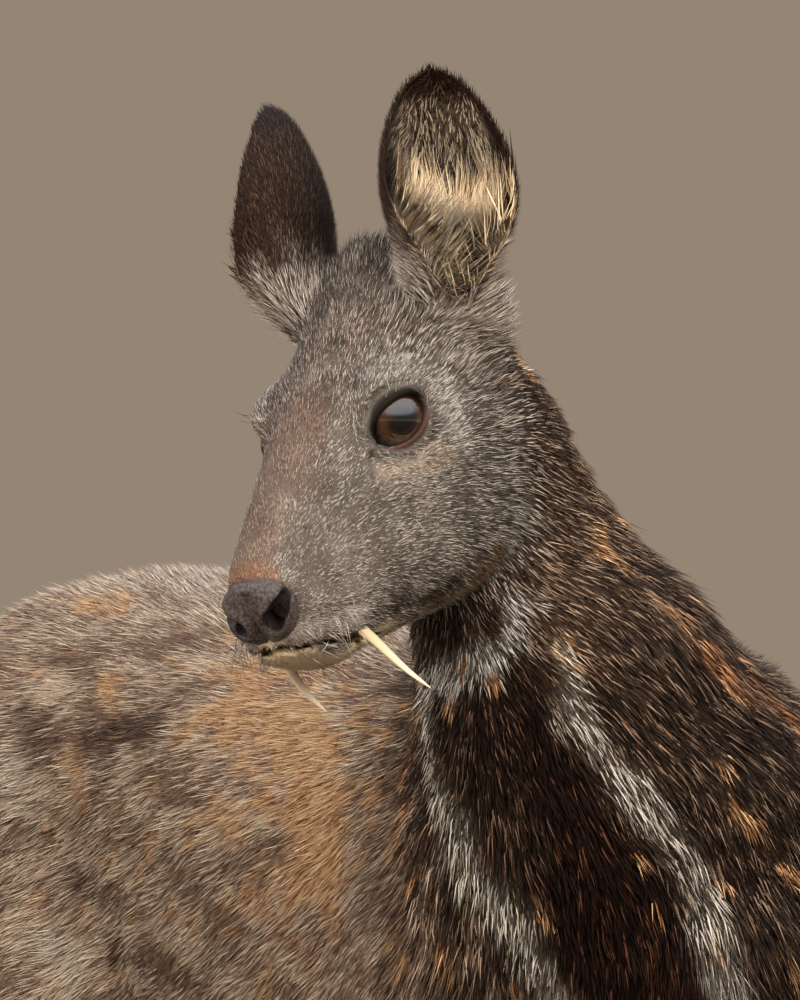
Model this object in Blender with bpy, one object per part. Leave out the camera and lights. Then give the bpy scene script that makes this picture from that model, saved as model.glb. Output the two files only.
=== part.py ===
"""A life-size male Siberian musk deer standing with its head turned back over its right side.

The body faces +X and its left side is +Y. Lengths in the tables are centimetres, turned to metres by CM.
The flesh is one blended form: rounded cones, ellipsoids and a lofted trunk and head, whose common surface
is found on a grid, thinned, and parted with thin cuts into the pieces a person would name.
"""

import math

import bmesh
import bpy
import numpy as np
from mathutils import Matrix, Vector
from mathutils.bvhtree import BVHTree

CM = 0.01
GAP = 0.0003

# Driving sizes of the whole animal, in centimetres
HEAD_TURN = -68.5
HEAD_PITCH = 28.5
HEAD_ROLL = 10.2
HEAD_CENTRE = (6.0, -17.5, 65.6)


def rotation(turn, pitch, roll):
    """The matrix whose columns are a piece's forward, left and up directions, from angles in degrees."""
    turned = Matrix.Rotation(math.radians(turn), 3, "Z")
    pitched = Matrix.Rotation(math.radians(pitch), 3, "Y")
    rolled = Matrix.Rotation(math.radians(roll), 3, "X")
    return np.array(turned @ pitched @ rolled)


HEAD_AXES = rotation(HEAD_TURN, HEAD_PITCH, HEAD_ROLL)


def on_head(point):
    """A place given forward, left and up of the midpoint of the eyes, as a place in the body's frame."""
    return tuple(np.array(HEAD_CENTRE) + HEAD_AXES @ np.array(point, float))


# Eyes, on the head's left side: middle of the ball, its size and the ridge of its lids
EYE_CENTRE = (-0.6, 2.45, -0.12)
EYE_RADIUS = 1.38
EYE_AXES = np.array(Matrix.Rotation(math.radians(60), 3, "Z") @ Matrix.Rotation(math.radians(-6), 3, "Y"))
LID_RADIUS = 1.26
LID_FORWARD = 0.74
LID_TUBE = 0.3

# Cuts between the pieces: middle, direction and radius of each thin disc, in the body's frame
NAPE_CUT = ((-5.6, 0.0, -2.8), (0.87, 0.0, 0.5), 11.5)
BODY_CUTS = (
    ((4.5, -1.0, 50.4), (0.79, 0.0, 0.61), 14.5),
    ((-0.5, 6.9, 31.2), (0.1, 0.0, 1.0), 4.9),
    ((-0.5, -6.9, 31.2), (0.1, 0.0, 1.0), 4.9),
    ((1.0, 6.5, 17.4), (0.0, 0.0, 1.0), 4.0),
    ((1.0, -6.5, 17.4), (0.0, 0.0, 1.0), 4.0),
    ((-32.4, 7.6, 33.2), (-0.12, 0.0, 1.0), 8.2),
    ((-32.4, -7.6, 33.2), (-0.12, 0.0, 1.0), 8.2),
    ((-42.6, 7.0, 22.4), (0.15, 0.0, 1.0), 4.0),
    ((-42.6, -7.0, 22.4), (0.15, 0.0, 1.0), 4.0),
)

# A place inside each piece of the body, which tells the pieces apart once they are cut
BODY_SEEDS = {
    "torso": (-20.0, 0.0, 44.0),
    "neck": (4.0, -6.0, 59.0),
    "foreleg_left_upper": (0.0, 6.7, 24.5),
    "foreleg_left_lower": (1.0, 6.5, 10.0),
    "hindleg_left_upper": (-36.5, 7.4, 29.5),
    "hindleg_left_lower": (-41.5, 7.0, 12.0),
}

# Nose pad, nostrils, mouth and tusks, all on the head: forward, left and up of the eyes
PAD_CUT = ((8.0, 0.0, -2.5), (0.97, 0.0, 0.24), 3.4)
NOSTRIL = ((8.6, 1.2, -3.25), (0.75, 0.42, 0.55))
MOUTH = ((10.5, -4.3), (8.8, -4.95), (5.7, -6.4), (3.6, -7.1), (2.8, -10.5))
TUSK = ((6.0, 1.8, -5.5), (5.7, 2.1, -6.2), (5.35, 2.34, -7.3), (4.92, 2.5, -8.4), (4.28, 2.6, -9.55))
TUSK_FORWARD = {1: 0.0, -1: 0.35}
TUSK_LONG = 0.34
TUSK_THIN = 0.18
TUSK_TURN = 12.0

# Ears: axis from the base to the tip, the way the cup opens, and rows of share of the length, half width and
# half angle of the wrap
EAR_BASE = (-5.4, 3.3, 2.2)
EAR_TIP = (-9.7, 4.35, 10.55)
EAR_OPENS = {1: (0.42, 0.88, 0.2), -1: (0.22, 0.95, 0.15)}
EAR_THICK = 0.28
EAR_ROOT = 1.75
EAR_PROFILE = (
    (0.0, 1.5, 150),
    (0.13, 1.75, 138),
    (0.28, 2.3, 112),
    (0.45, 2.85, 92),
    (0.62, 2.85, 80),
    (0.78, 2.35, 72),
    (0.9, 1.6, 64),
    (0.97, 0.85, 58),
    (1.0, 0.3, 50),
)

# Tail: x, z and radius
TAIL = ((-44.0, 51.0, 1.3), (-46.2, 49.6, 1.6), (-47.2, 47.4, 1.5), (-47.2, 45.6, 0.9))

# Feet: the middle of each sole, half the space between the toes, and hoof length, width and height
FORE_SOLE = (3.6, 6.5)
HIND_SOLE = (-37.6, 7.0)
TOE_SPACE = 0.72
HOOF = (4.1, 1.25, 3.0)

# Dewclaw: place behind the sole's middle, height, and half its length and width there
DEWCLAW = ((-3.9, 0.0, 0.42, 0.3), (-3.75, 0.7, 0.62, 0.42), (-3.4, 2.0, 0.72, 0.46), (-2.6, 4.4, 0.6, 0.42))

# Coat: flat tapered locks where the long hair shows in the outline. A kind gives a lock's length, width and
# thickness, its lift off the skin in degrees and the depth of its root
LOCK_KINDS = {
    "long": (7.0, 2.1, 0.6, 15.0, 0.5),
    "mane": (5.6, 1.7, 0.5, 14.0, 0.45),
    "ear": (2.9, 0.7, 0.22, 24.0, 0.13),
}
# Rows of locks: node, kind, how many, first and last place, the way the hair points, and whether the row is
# repeated on the other side
LOCK_ROWS = (
    ("torso", "long", 5, (1.0, 2.2, 60.0), (-37.0, 2.6, 62.0), (-1.0, 0.0, -0.02), True),
    ("torso", "long", 4, (-3.0, 7.5, 57.0), (-38.0, 8.0, 58.5), (-1.0, 0.0, -0.18), True),
    ("torso", "long", 4, (-11.0, 11.0, 48.5), (-34.0, 12.0, 50.5), (-1.0, 0.0, -0.35), True),
    ("torso", "long", 3, (-9.0, 10.5, 40.0), (-25.0, 10.5, 40.0), (-1.0, 0.0, -0.4), True),
    ("torso", "long", 4, (-6.0, 3.6, 33.5), (-24.0, 4.2, 35.0), (-1.0, 0.1, -0.35), True),
    ("torso", "long", 3, (-45.0, 6.0, 54.5), (-47.0, 4.6, 42.5), (-0.35, 0.1, -1.0), True),
    ("torso", "mane", 2, (-40.0, 11.5, 45.0), (-42.0, 10.5, 39.0), (-0.5, 0.0, -1.0), True),
    ("torso", "mane", 5, (12.0, -7.0, 41.5), (12.0, 7.0, 41.5), (-0.25, 0.0, -1.0), False),
    ("torso", "mane", 4, (9.0, -5.0, 36.0), (9.0, 5.0, 36.0), (-0.4, 0.0, -1.0), False),
    ("neck", "mane", 6, (11.5, -12.0, 62.0), (16.0, -2.0, 50.0), (0.08, 0.42, -1.0), False),
    ("neck", "mane", 5, (8.0, -15.0, 58.5), (14.0, -7.5, 50.0), (0.15, 0.35, -1.0), False),
    ("neck", "mane", 4, (-1.0, -5.0, 69.0), (-3.5, 0.0, 62.0), (-0.45, 0.45, -0.8), False),
    ("neck", "mane", 4, (1.0, -14.0, 57.5), (6.0, -12.0, 53.0), (0.15, 0.25, -1.0), False),
    ("neck", "mane", 5, (11.0, 2.0, 61.0), (14.5, 4.0, 51.5), (-0.1, 0.35, -1.0), False),
)
# Hair in the ears: where a lock is rooted, as shares of the ear's length and of its half wrap
EAR_LOCKS = ((0.2, 0.55), (0.27, 0.78), (0.36, 0.62), (0.45, 0.8), (0.3, -0.6), (0.42, -0.72))
LOCK_SHAPE = ((0.0, 0.75, 1.0), (0.34, 1.0, 0.9), (0.72, 0.66, 0.62), (1.0, 0.06, 0.1))
LOCK_CLEAR = 0.12
SEED = 11

# Triangles left in the head and in the rest of the flesh
HEAD_BUDGET = 2000
BODY_BUDGET = 4200

# Finishes: the words that a name holds, base colour and roughness; the first row whose words match is used
FINISHES = (
    ("hoof claw", "horn", (0.035, 0.03, 0.026), 0.45),
    ("tusk", "ivory", (0.78, 0.7, 0.5), 0.35),
    ("eye", "eye", (0.02, 0.012, 0.008), 0.08),
    ("nose", "nose_pad", (0.03, 0.026, 0.028), 0.5),
    ("ear", "ear_coat", (0.06, 0.045, 0.038), 0.9),
    ("head jaw", "face_coat", (0.13, 0.115, 0.1), 0.9),
    ("neck", "neck_coat", (0.055, 0.04, 0.032), 0.9),
    ("foreleg hindleg", "leg_coat", (0.07, 0.052, 0.04), 0.9),
    ("torso tail", "body_coat", (0.12, 0.085, 0.06), 0.9),
)
SHARP_ANGLE = 40.0

# Trunk: distance along the body, height of the back, height of the belly, half width
TRUNK = (
    (-46.0, 52.5, 47.0, 2.6),
    (-44.5, 55.5, 43.5, 5.6),
    (-41.5, 58.4, 40.5, 8.0),
    (-36.0, 60.3, 38.0, 9.6),
    (-29.0, 60.5, 37.0, 10.2),
    (-21.0, 59.6, 36.0, 10.6),
    (-13.0, 58.6, 34.5, 10.6),
    (-5.0, 58.8, 33.3, 10.0),
    (0.0, 58.8, 33.5, 9.4),
    (5.0, 56.0, 35.0, 8.6),
    (8.6, 51.7, 37.4, 6.8),
    (11.2, 48.0, 39.6, 4.6),
    (12.6, 45.8, 42.0, 1.9),
)

# Head: distance forward of the eyes, height of the upper line and of the lower line, half width
HEAD = (
    (-8.0, 3.4, -1.5, 1.4),
    (-7.2, 5.3, -3.9, 2.9),
    (-5.6, 5.4, -6.3, 3.8),
    (-3.4, 4.2, -7.8, 4.0),
    (-1.2, 3.2, -8.1, 3.75),
    (1.0, 2.1, -7.9, 3.25),
    (3.2, 1.0, -7.5, 2.8),
    (5.2, 0.05, -7.2, 2.45),
    (6.9, -0.75, -6.8, 2.1),
    (8.1, -1.5, -5.75, 1.6),
    (8.8, -2.2, -4.8, 0.9),
)


class Curves:
    """Natural cubic curves through the rows of a table, one for each of its columns after the first."""

    def __init__(self, table):
        rows = np.array(table, float)
        self.x, self.values = rows[:, 0], rows[:, 1:]
        count = len(self.x)
        step = np.diff(self.x)
        slope = np.diff(self.values, axis=0) / step[:, None]
        system = np.eye(count)
        right = np.zeros_like(self.values)
        for i in range(1, count - 1):
            system[i, i - 1 : i + 2] = step[i - 1], 2 * (step[i - 1] + step[i]), step[i]
            right[i] = 6 * (slope[i] - slope[i - 1])
        self.bend = np.linalg.solve(system, right)

    def __call__(self, x):
        x = np.clip(x, self.x[0], self.x[-1])
        i = np.clip(np.searchsorted(self.x, x) - 1, 0, len(self.x) - 2)
        step = (self.x[i + 1] - self.x[i])[:, None]
        a = (self.x[i + 1] - x)[:, None] / step
        b = 1 - a
        bent = ((a**3 - a) * self.bend[i] + (b**3 - b) * self.bend[i + 1]) * step**2 / 6
        return (a * self.values[i] + b * self.values[i + 1] + bent).T


def loft(p, curves, fullness=2.3):
    """Roughly the distance to a straight loft along the first axis, with superellipse sections."""
    top, bottom, half = curves(p[:, 0])
    middle, rise = (top + bottom) / 2, (top - bottom) / 2
    across = np.abs(p[:, 1]) / half
    up = np.abs(p[:, 2] - middle) / rise
    q = (across**fullness + up**fullness + 1e-9) ** (1 / fullness)
    side = (q - 1) * np.hypot(p[:, 1], p[:, 2] - middle) / np.maximum(q, 1e-3)
    beyond = np.maximum(curves.x[0] - p[:, 0], p[:, 0] - curves.x[-1])
    capped = np.hypot(np.maximum(side, 0), np.maximum(beyond, 0)) + np.minimum(np.maximum(side, beyond), 0)
    return np.where(beyond > 0, capped, np.maximum(side, beyond))


def cone(p, a, b, radius_a, radius_b):
    """Distance to a rounded cone between two points."""
    a, b = np.array(a, float), np.array(b, float)
    along = b - a
    t = np.clip((p - a) @ along / (along @ along), 0, 1)
    return np.linalg.norm(p - a - t[:, None] * along, axis=1) - (radius_a + (radius_b - radius_a) * t)


def ellipsoid(p, centre, radii, axes=None):
    """Roughly the distance to an ellipsoid whose own axes are the columns of a matrix."""
    q = p - np.array(centre, float)
    if axes is not None:
        q = q @ axes
    radii = np.array(radii, float)
    near = np.linalg.norm(q / radii, axis=1)
    return near * (near - 1) / np.maximum(np.linalg.norm(q / radii**2, axis=1), 1e-6)


def blend(a, b, reach):
    """The union of two forms, rounded over where their distances are within a reach of each other."""
    h = np.maximum(reach - np.abs(a - b), 0) / reach
    return np.minimum(a, b) - h * h * reach / 4


def chain(p, stations, reach=1.0):
    """A limb through (x, y, z, radius) stations."""
    made = None
    for a, b in zip(stations[:-1], stations[1:]):
        piece = cone(p, a[:3], b[:3], a[3], b[3])
        made = piece if made is None else blend(made, piece, reach)
    return made


TRUNK_CURVES = Curves(TRUNK)
HEAD_CURVES = Curves(HEAD)

# Neck: (x, y, z, radius) from the nape down into the chest
NECK = (
    (4.0, -11.2, 66.8, 4.0),
    (3.9, -9.9, 64.8, 4.1),
    (3.8, -8.6, 62.0, 4.35),
    (3.8, -6.9, 59.0, 5.0),
    (3.8, -4.8, 55.2, 6.5),
    (3.8, -2.4, 50.6, 7.9),
    (4.0, 0.0, 45.4, 8.4),
)

# Legs on the left side: (x, y, z, radius)
FORELEG = (
    (-0.5, 5.6, 44.0, 5.0),
    (-1.8, 6.6, 37.0, 4.2),
    (-1.0, 6.9, 31.0, 2.95),
    (0.2, 6.8, 25.0, 2.2),
    (1.0, 6.6, 20.0, 1.8),
    (1.3, 6.5, 17.6, 1.85),
    (1.1, 6.5, 14.8, 1.45),
    (0.7, 6.5, 8.2, 1.3),
    (0.8, 6.5, 5.8, 1.55),
    (1.9, 6.5, 3.2, 1.35),
)
HINDLEG = (
    (-35.0, 5.4, 49.0, 7.2),
    (-29.5, 7.2, 40.5, 5.4),
    (-32.5, 7.5, 34.5, 4.3),
    (-37.0, 7.4, 29.5, 3.0),
    (-41.6, 7.2, 25.0, 2.1),
    (-43.1, 7.1, 22.9, 1.95),
    (-42.9, 7.0, 20.0, 1.65),
    (-41.6, 7.0, 10.5, 1.45),
    (-41.0, 7.0, 6.6, 1.7),
    (-39.4, 7.0, 3.2, 1.4),
)


def flesh(p):
    """Distance to the whole coated body, in centimetres, at places in centimetres."""
    side = np.column_stack([p[:, 0], np.abs(p[:, 1]), p[:, 2]])
    body = loft(p, TRUNK_CURVES)
    body = blend(body, chain(side, FORELEG, 2.0), 4.0)
    body = blend(body, ellipsoid(side, (-36.0, 4.4, 47.5), (8.4, 6.0, 10.8)), 3.0)
    body = blend(body, chain(side, HINDLEG, 2.5), 3.0)
    body = blend(body, ellipsoid(side, (0.5, 4.3, 45.5), (7.4, 5.6, 11.0)), 3.0)
    body = blend(body, chain(p, NECK, 1.0), 2.5)
    return blend(body, head(p), 1.6)


def head(p):
    """Distance to the head alone."""
    q = (p - np.array(HEAD_CENTRE)) @ HEAD_AXES
    near = q.copy()
    near[:, 1] = np.abs(near[:, 1])
    made = loft(q, HEAD_CURVES, 2.2)
    made = blend(made, ellipsoid(near, (-0.9, 2.5, 1.3), (2.0, 1.15, 0.9)), 1.2)
    made = blend(made, ellipsoid(near, (-1.4, 2.4, -4.4), (4.2, 1.3, 3.0)), 2.5)
    made = blend(made, ellipsoid(near, (5.9, 1.2, -4.9), (2.2, 1.0, 1.3)), 1.2)
    made = blend(made, ellipsoid(near, (-5.9, 3.0, 2.6), (1.9, 1.5, 1.9)), 1.5)
    made = blend(made, ellipsoid(near, (-6.9, 3.8, 1.5), (1.5, 1.3, 2.3)), 1.0)
    made = blend(made, ellipsoid(near, (7.95, 0.55, -3.3), (0.95, 0.95, 1.2)), 0.4)
    eye = np.array(EYE_CENTRE)
    opening = cone(near, eye, eye + EYE_AXES[:, 0] * 4.0, LID_RADIUS, LID_RADIUS + 0.8)
    made = -blend(-made, opening, 0.3)
    return blend(made, lid_ring(near), 0.3)


def lid_ring(near):
    """Distance to the ridge of the eyelids, a ring a little wider than high round the eye's opening."""
    q = (near - np.array(EYE_CENTRE)) @ EYE_AXES
    radius = np.hypot(q[:, 1] / 1.08, q[:, 2] / 0.94)
    return np.hypot(radius - LID_RADIUS, q[:, 0] - LID_FORWARD) - LID_TUBE


def graded(low, high, coarse, spans):
    """Grid places from low to high, with a finer spacing inside each (start, end, spacing) span."""
    places = [low]
    while places[-1] < high:
        here = places[-1]
        step = min([coarse] + [fine + 0.12 * max(start - here, here - end, 0) for start, end, fine in spans])
        places.append(here + step)
    return np.array(places)


def corner_view(grid, corner):
    """The grid's values at one corner of each cell, or of each cell face where the corner's place is None."""
    return grid[tuple(slice(None) if c is None else slice(c, c - 1 or None) for c in corner)]


def without_pinches(values):
    """Fills places where a surface would touch itself along an edge or at a point between cells."""
    full = [(a, b, c) for a in (0, 1) for b in (0, 1) for c in (0, 1)]
    for _ in range(12):
        inside = values < 0
        fill = np.zeros_like(inside)
        for axis in range(3):
            corners = [tuple(None if k == axis else c[k] for k in range(3)) for c in full if c[axis] == 0]
            a, b, c, d = [corner_view(inside, k) for k in corners]
            bad = (a & d & ~b & ~c) | (~a & ~d & b & c)
            for k in corners:
                corner_view(fill, k)[...] |= bad
        total = sum(corner_view(inside, k).astype(np.int8) for k in full)
        for k in full[:4]:
            far = tuple(1 - c for c in k)
            one, two = corner_view(inside, k), corner_view(inside, far)
            bad = (one & two & (total == 2)) | (~one & ~two & (total == 6))
            for c in full:
                corner_view(fill, c)[...] |= bad
        fill &= ~inside
        if not fill.any():
            break
        values[fill] = -0.01
    return values


def skin_net(field, xs, ys, zs):
    """The zero surface of a field on a rectangular grid, one point for each cell that it crosses."""
    shape = (len(xs), len(ys), len(zs))
    values = np.empty(shape, np.float32)
    for i, x in enumerate(xs):
        plane = np.stack(np.meshgrid([x], ys, zs, indexing="ij"), -1).reshape(-1, 3)
        values[i] = field(plane).reshape(shape[1:])
    values = without_pinches(values)
    inside = values < 0
    corners = [(a, b, c) for a in (0, 1) for b in (0, 1) for c in (0, 1)]
    cut = tuple(s - 1 for s in shape)
    full = sum(inside[a : a + cut[0], b : b + cut[1], c : c + cut[2]].astype(np.int8) for a, b, c in corners)
    cells = np.argwhere((full > 0) & (full < 8))
    number = np.full(cut, -1, np.int64)
    number[tuple(cells.T)] = np.arange(len(cells))
    places = np.zeros((len(cells), 3))
    crossings = np.zeros(len(cells))
    grid = (xs, ys, zs)
    for axis in range(3):
        for corner in corners:
            if corner[axis]:
                continue
            start = cells + np.array(corner)
            stop = start.copy()
            stop[:, axis] += 1
            v0, v1 = values[tuple(start.T)], values[tuple(stop.T)]
            crossed = (v0 < 0) != (v1 < 0)
            t = np.where(crossed, v0 / np.where(crossed, v0 - v1, 1), 0)
            for k in range(3):
                a, b = grid[k][start[:, k]], grid[k][stop[:, k]]
                places[:, k] += np.where(crossed, a + t * (b - a), 0)
            crossings += crossed
    places /= crossings[:, None]
    faces = []
    for axis in range(3):
        u, v = (axis + 1) % 3, (axis + 2) % 3
        low = [slice(1, -1)] * 3
        low[axis] = slice(0, -1)
        high = list(low)
        high[axis] = slice(1, None)
        first, second = inside[tuple(low)], inside[tuple(high)]
        edges = np.argwhere(first != second)
        out = first[tuple(edges.T)]
        edges[:, u] += 1
        edges[:, v] += 1
        ring = []
        for du, dv in ((-1, -1), (0, -1), (0, 0), (-1, 0)):
            cell = edges.copy()
            cell[:, u] += du
            cell[:, v] += dv
            ring.append(number[tuple(cell.T)])
        ring = np.stack(ring, 1)
        faces.append(np.where(out[:, None], ring, ring[:, ::-1]))
    return places, np.concatenate(faces)


def settle(field, places, rounds=2, reach=0.04, furthest=0.06):
    """Moves points toward the zero surface along the field's own slope, by short steps."""
    for _ in range(rounds):
        value = field(places)
        steps = np.eye(3) * reach
        slope = np.stack([field(places + d) - field(places - d) for d in steps], 1) / (2 * reach)
        step = np.clip(value / np.maximum((slope**2).sum(1), 0.3), -furthest, furthest)
        places = places - slope * step[:, None]
    return places


def new_object(name, places, faces):
    """A closed object from places in centimetres."""
    mesh = bpy.data.meshes.new(name)
    mesh.from_pydata((np.asarray(places) * CM).tolist(), [], [list(map(int, f)) for f in faces])
    made = bpy.data.objects.new(name, mesh)
    bpy.context.scene.collection.objects.link(made)
    return made


def applied(obj):
    """Turns an object's modifiers into its own mesh."""
    graph = bpy.context.evaluated_depsgraph_get()
    mesh = bpy.data.meshes.new_from_object(obj.evaluated_get(graph))
    obj.modifiers.clear()
    old, obj.data = obj.data, mesh
    bpy.data.meshes.remove(old)
    return obj


def tidy(obj, merge=2e-7):
    """Merges doubled points, drops slivers and leaves triangles facing out."""
    net = bmesh.new()
    net.from_mesh(obj.data)
    bmesh.ops.remove_doubles(net, verts=net.verts, dist=merge)
    bmesh.ops.dissolve_degenerate(net, edges=net.edges, dist=merge)
    bmesh.ops.triangulate(net, faces=net.faces)
    bmesh.ops.recalc_face_normals(net, faces=net.faces)
    net.to_mesh(obj.data)
    net.free()
    return obj


def thinned(obj, budget):
    """Collapses edges until about a number of triangles is left."""
    tidy(obj)
    ratio = budget / max(len(obj.data.polygons), 1)
    if ratio < 1:
        change = obj.modifiers.new("thin", "DECIMATE")
        change.ratio = ratio
        applied(obj)
    return tidy(obj, 2e-5)


def is_closed(mesh):
    """Whether every edge of a mesh is shared by exactly two faces."""
    loops = np.empty(len(mesh.loops), np.int32)
    mesh.loops.foreach_get("edge_index", loops)
    return len(mesh.polygons) > 0 and bool((np.bincount(loops, minlength=len(mesh.edges)) == 2).all())


def combined(obj, other, operation, drop=True):
    """Cuts one object with another, or joins them; the second solver is for where the first fails."""
    before = obj.data.copy()
    for solver in ("EXACT", "MANIFOLD"):
        change = obj.modifiers.new("combine", "BOOLEAN")
        change.operation = operation
        change.solver = solver
        change.object = other
        applied(obj)
        tidy(obj)
        if is_closed(obj.data):
            break
        obj.data = before.copy()
    bpy.data.meshes.remove(before)
    if drop:
        bpy.data.objects.remove(other)
    return obj


def swollen(obj, amount=GAP):
    """A copy of an object with its points moved out along their normals."""
    made = obj.copy()
    made.data = obj.data.copy()
    bpy.context.scene.collection.objects.link(made)
    moved = [v.co + v.normal * amount for v in made.data.vertices]
    made.data.vertices.foreach_set("co", np.array(moved, np.float32).ravel())
    made.data.update()
    return made


def loose_pieces(obj):
    """Splits an object into its separate closed surfaces, largest first, and removes it."""
    net = bmesh.new()
    net.from_mesh(obj.data)
    net.verts.ensure_lookup_table()
    left, groups = set(range(len(net.verts))), []
    while left:
        todo = [min(left)]
        left.discard(todo[0])
        group = []
        while todo:
            i = todo.pop()
            group.append(i)
            for edge in net.verts[i].link_edges:
                j = edge.other_vert(net.verts[i]).index
                if j in left:
                    left.discard(j)
                    todo.append(j)
        groups.append(sorted(group))
    pieces = []
    for group in sorted(groups, key=lambda g: (-len(g), g[0])):
        place = {old: new for new, old in enumerate(group)}
        faces = [[place[v.index] for v in f.verts] for f in net.faces if f.verts[0].index in place]
        points = [np.array(net.verts[i].co) / CM for i in group]
        pieces.append(new_object("piece", points, faces))
    net.free()
    bpy.data.objects.remove(obj)
    return pieces


def turned_to(direction):
    """The turn that takes +Z to a direction."""
    return Vector(direction).to_track_quat("Z", "Y").to_matrix()


def disc(centre, direction, radius, thickness=GAP / CM, sides=32):
    """A thin round cutter."""
    turn = np.array(turned_to(direction))
    angles = np.arange(sides) * 2 * np.pi / sides
    ring = np.column_stack([np.cos(angles) * radius, np.sin(angles) * radius, np.zeros(sides)])
    rise = np.array((0, 0, thickness / 2))
    places = np.vstack([ring - rise, ring + rise]) @ turn.T + np.array(centre)
    faces = [list(range(sides))[::-1], list(range(sides, 2 * sides))]
    faces += [[i, (i + 1) % sides, sides + (i + 1) % sides, sides + i] for i in range(sides)]
    return new_object("cutter", places, faces)


def tube(name, rings, folded=False):
    """A closed surface through rings of equally many points; folded rings go out along an arc and back."""
    count, sides = len(rings), len(rings[0])
    places = [tuple(p) for ring in rings for p in ring]
    faces = []
    for i in range(count - 1):
        for j in range(sides):
            k = (j + 1) % sides
            faces.append([i * sides + j, i * sides + k, (i + 1) * sides + k, (i + 1) * sides + j])
    for ring, order in ((0, -1), (count - 1, 1)):
        if folded:
            for j in range(sides // 2 - 1):
                quad = [j, j + 1, sides - 2 - j, sides - 1 - j]
                faces.append([ring * sides + k for k in quad][::order])
            continue
        middle = np.mean(rings[ring], axis=0)
        places.append(tuple(middle))
        for j in range(sides):
            k = (j + 1) % sides
            faces.append([len(places) - 1, ring * sides + j, ring * sides + k][::order])
    return tidy(new_object(name, places, faces))


def ball(name, centre, radii, axes=None, rings=8, sides=14):
    """An ellipsoid as a closed surface; its pole is its own first axis."""
    axes = np.eye(3) if axes is None else axes
    made = []
    for t in np.linspace(0.06, np.pi - 0.06, rings):
        a = np.arange(sides) * 2 * np.pi / sides
        unit = np.column_stack([np.full(sides, np.cos(t)), np.sin(t) * np.cos(a), np.sin(t) * np.sin(a)])
        made.append(unit * np.array(radii) @ np.array(axes).T + np.array(centre))
    return tube(name, made)


def mirrored(point):
    return np.array(point, float) * (1, -1, 1)


def placed_on_head(places):
    return np.array(places, float) @ HEAD_AXES.T + np.array(HEAD_CENTRE)


def eye(name, side, swell=0.0):
    """A ball cut flat behind, in its socket; swell gives the socket's own larger size."""
    radius = EYE_RADIUS + swell
    rings = []
    for t in np.linspace(0.14, math.radians(104), 6):
        a = np.arange(14) * 2 * np.pi / 14
        unit = np.column_stack([np.full(14, np.cos(t)), np.sin(t) * np.cos(a), np.sin(t) * np.sin(a)])
        rings.append(unit * radius)
    rings.append(rings[-1] * (1, 0.5, 0.5) - (swell, 0, 0))
    rings[-2] = rings[-2] - (swell, 0, 0)
    rings = [placed_on_head((r @ EYE_AXES.T + np.array(EYE_CENTRE)) * (1, side, 1)) for r in rings]
    return tube(name, rings)


def ear_axes(side):
    """The base of the ear's axis, and its directions: along it, the way it opens, and across."""
    base, tip = np.array(EAR_BASE), np.array(EAR_TIP)
    along = (tip - base) / np.linalg.norm(tip - base)
    opens = np.array(EAR_OPENS[side])
    opens -= along * (opens @ along)
    opens /= np.linalg.norm(opens)
    return base, along, opens, np.cross(along, opens)


def ear(name, side):
    """A cup of even thickness wrapped round the ear's axis, open to the front and side."""
    base, along, opens, across = ear_axes(side)
    tip = np.array(EAR_TIP)
    profile = np.array(EAR_PROFILE)
    rings = []
    for t in (0.0, 0.13, 0.26, 0.4, 0.54, 0.67, 0.78, 0.88, 0.95, 1.0):
        width, wrap = np.interp(t, profile[:, 0], profile[:, 1]), np.interp(t, profile[:, 0], profile[:, 2])
        wrap = math.radians(wrap)
        round_radius = width / math.sin(min(wrap, math.pi / 2))
        middle = base + along * np.linalg.norm(tip - base) * t + opens * (0.32 * math.sin(np.pi * t))
        middle = middle + opens * (round_radius - max(0.62 * width, EAR_ROOT * (1 - t)))
        thick = EAR_THICK * (1 - 0.45 * t)
        angles = np.linspace(-wrap, wrap, 9)
        outer = [middle + (across * math.sin(a) - opens * math.cos(a)) * round_radius for a in angles]
        angles = np.linspace(wrap, -wrap, 9) * (1 - 0.02)
        inside = round_radius - thick
        inner = [middle + across * math.sin(a) * inside - opens * math.cos(a) * inside for a in angles]
        rings.append(placed_on_head(np.array(outer + inner) * (1, side, 1)))
    return tube(name, rings, folded=True)


def tusk(name, side):
    """A long flattened curved tooth, thick at the root and sharp at the tip."""
    path = (np.array(TUSK) + (TUSK_FORWARD[side], 0, 0)) * (1, side, 1)
    turn = math.radians(TUSK_TURN * side)
    rings = []
    for t in np.linspace(0, 1, 9):
        k = t * (len(path) - 1)
        i = min(int(k), len(path) - 2)
        middle = path[i] + (path[i + 1] - path[i]) * (k - i)
        along = path[i + 1] - path[i]
        along /= np.linalg.norm(along)
        front = np.cross((0, 1, 0), along)
        front /= np.linalg.norm(front)
        size = (1 - t) ** 0.62 + 0.05
        a = np.arange(10) * 2 * np.pi / 10
        aside = np.cross(along, front)
        wide = front * math.cos(turn) - aside * math.sin(turn)
        flat = aside * math.cos(turn) + front * math.sin(turn)
        ring = middle + np.outer(np.cos(a) * TUSK_LONG * size, wide)
        ring = ring + np.outer(np.sin(a) * TUSK_THIN * size, flat)
        rings.append(placed_on_head(ring))
    return tube(name, rings)


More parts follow.
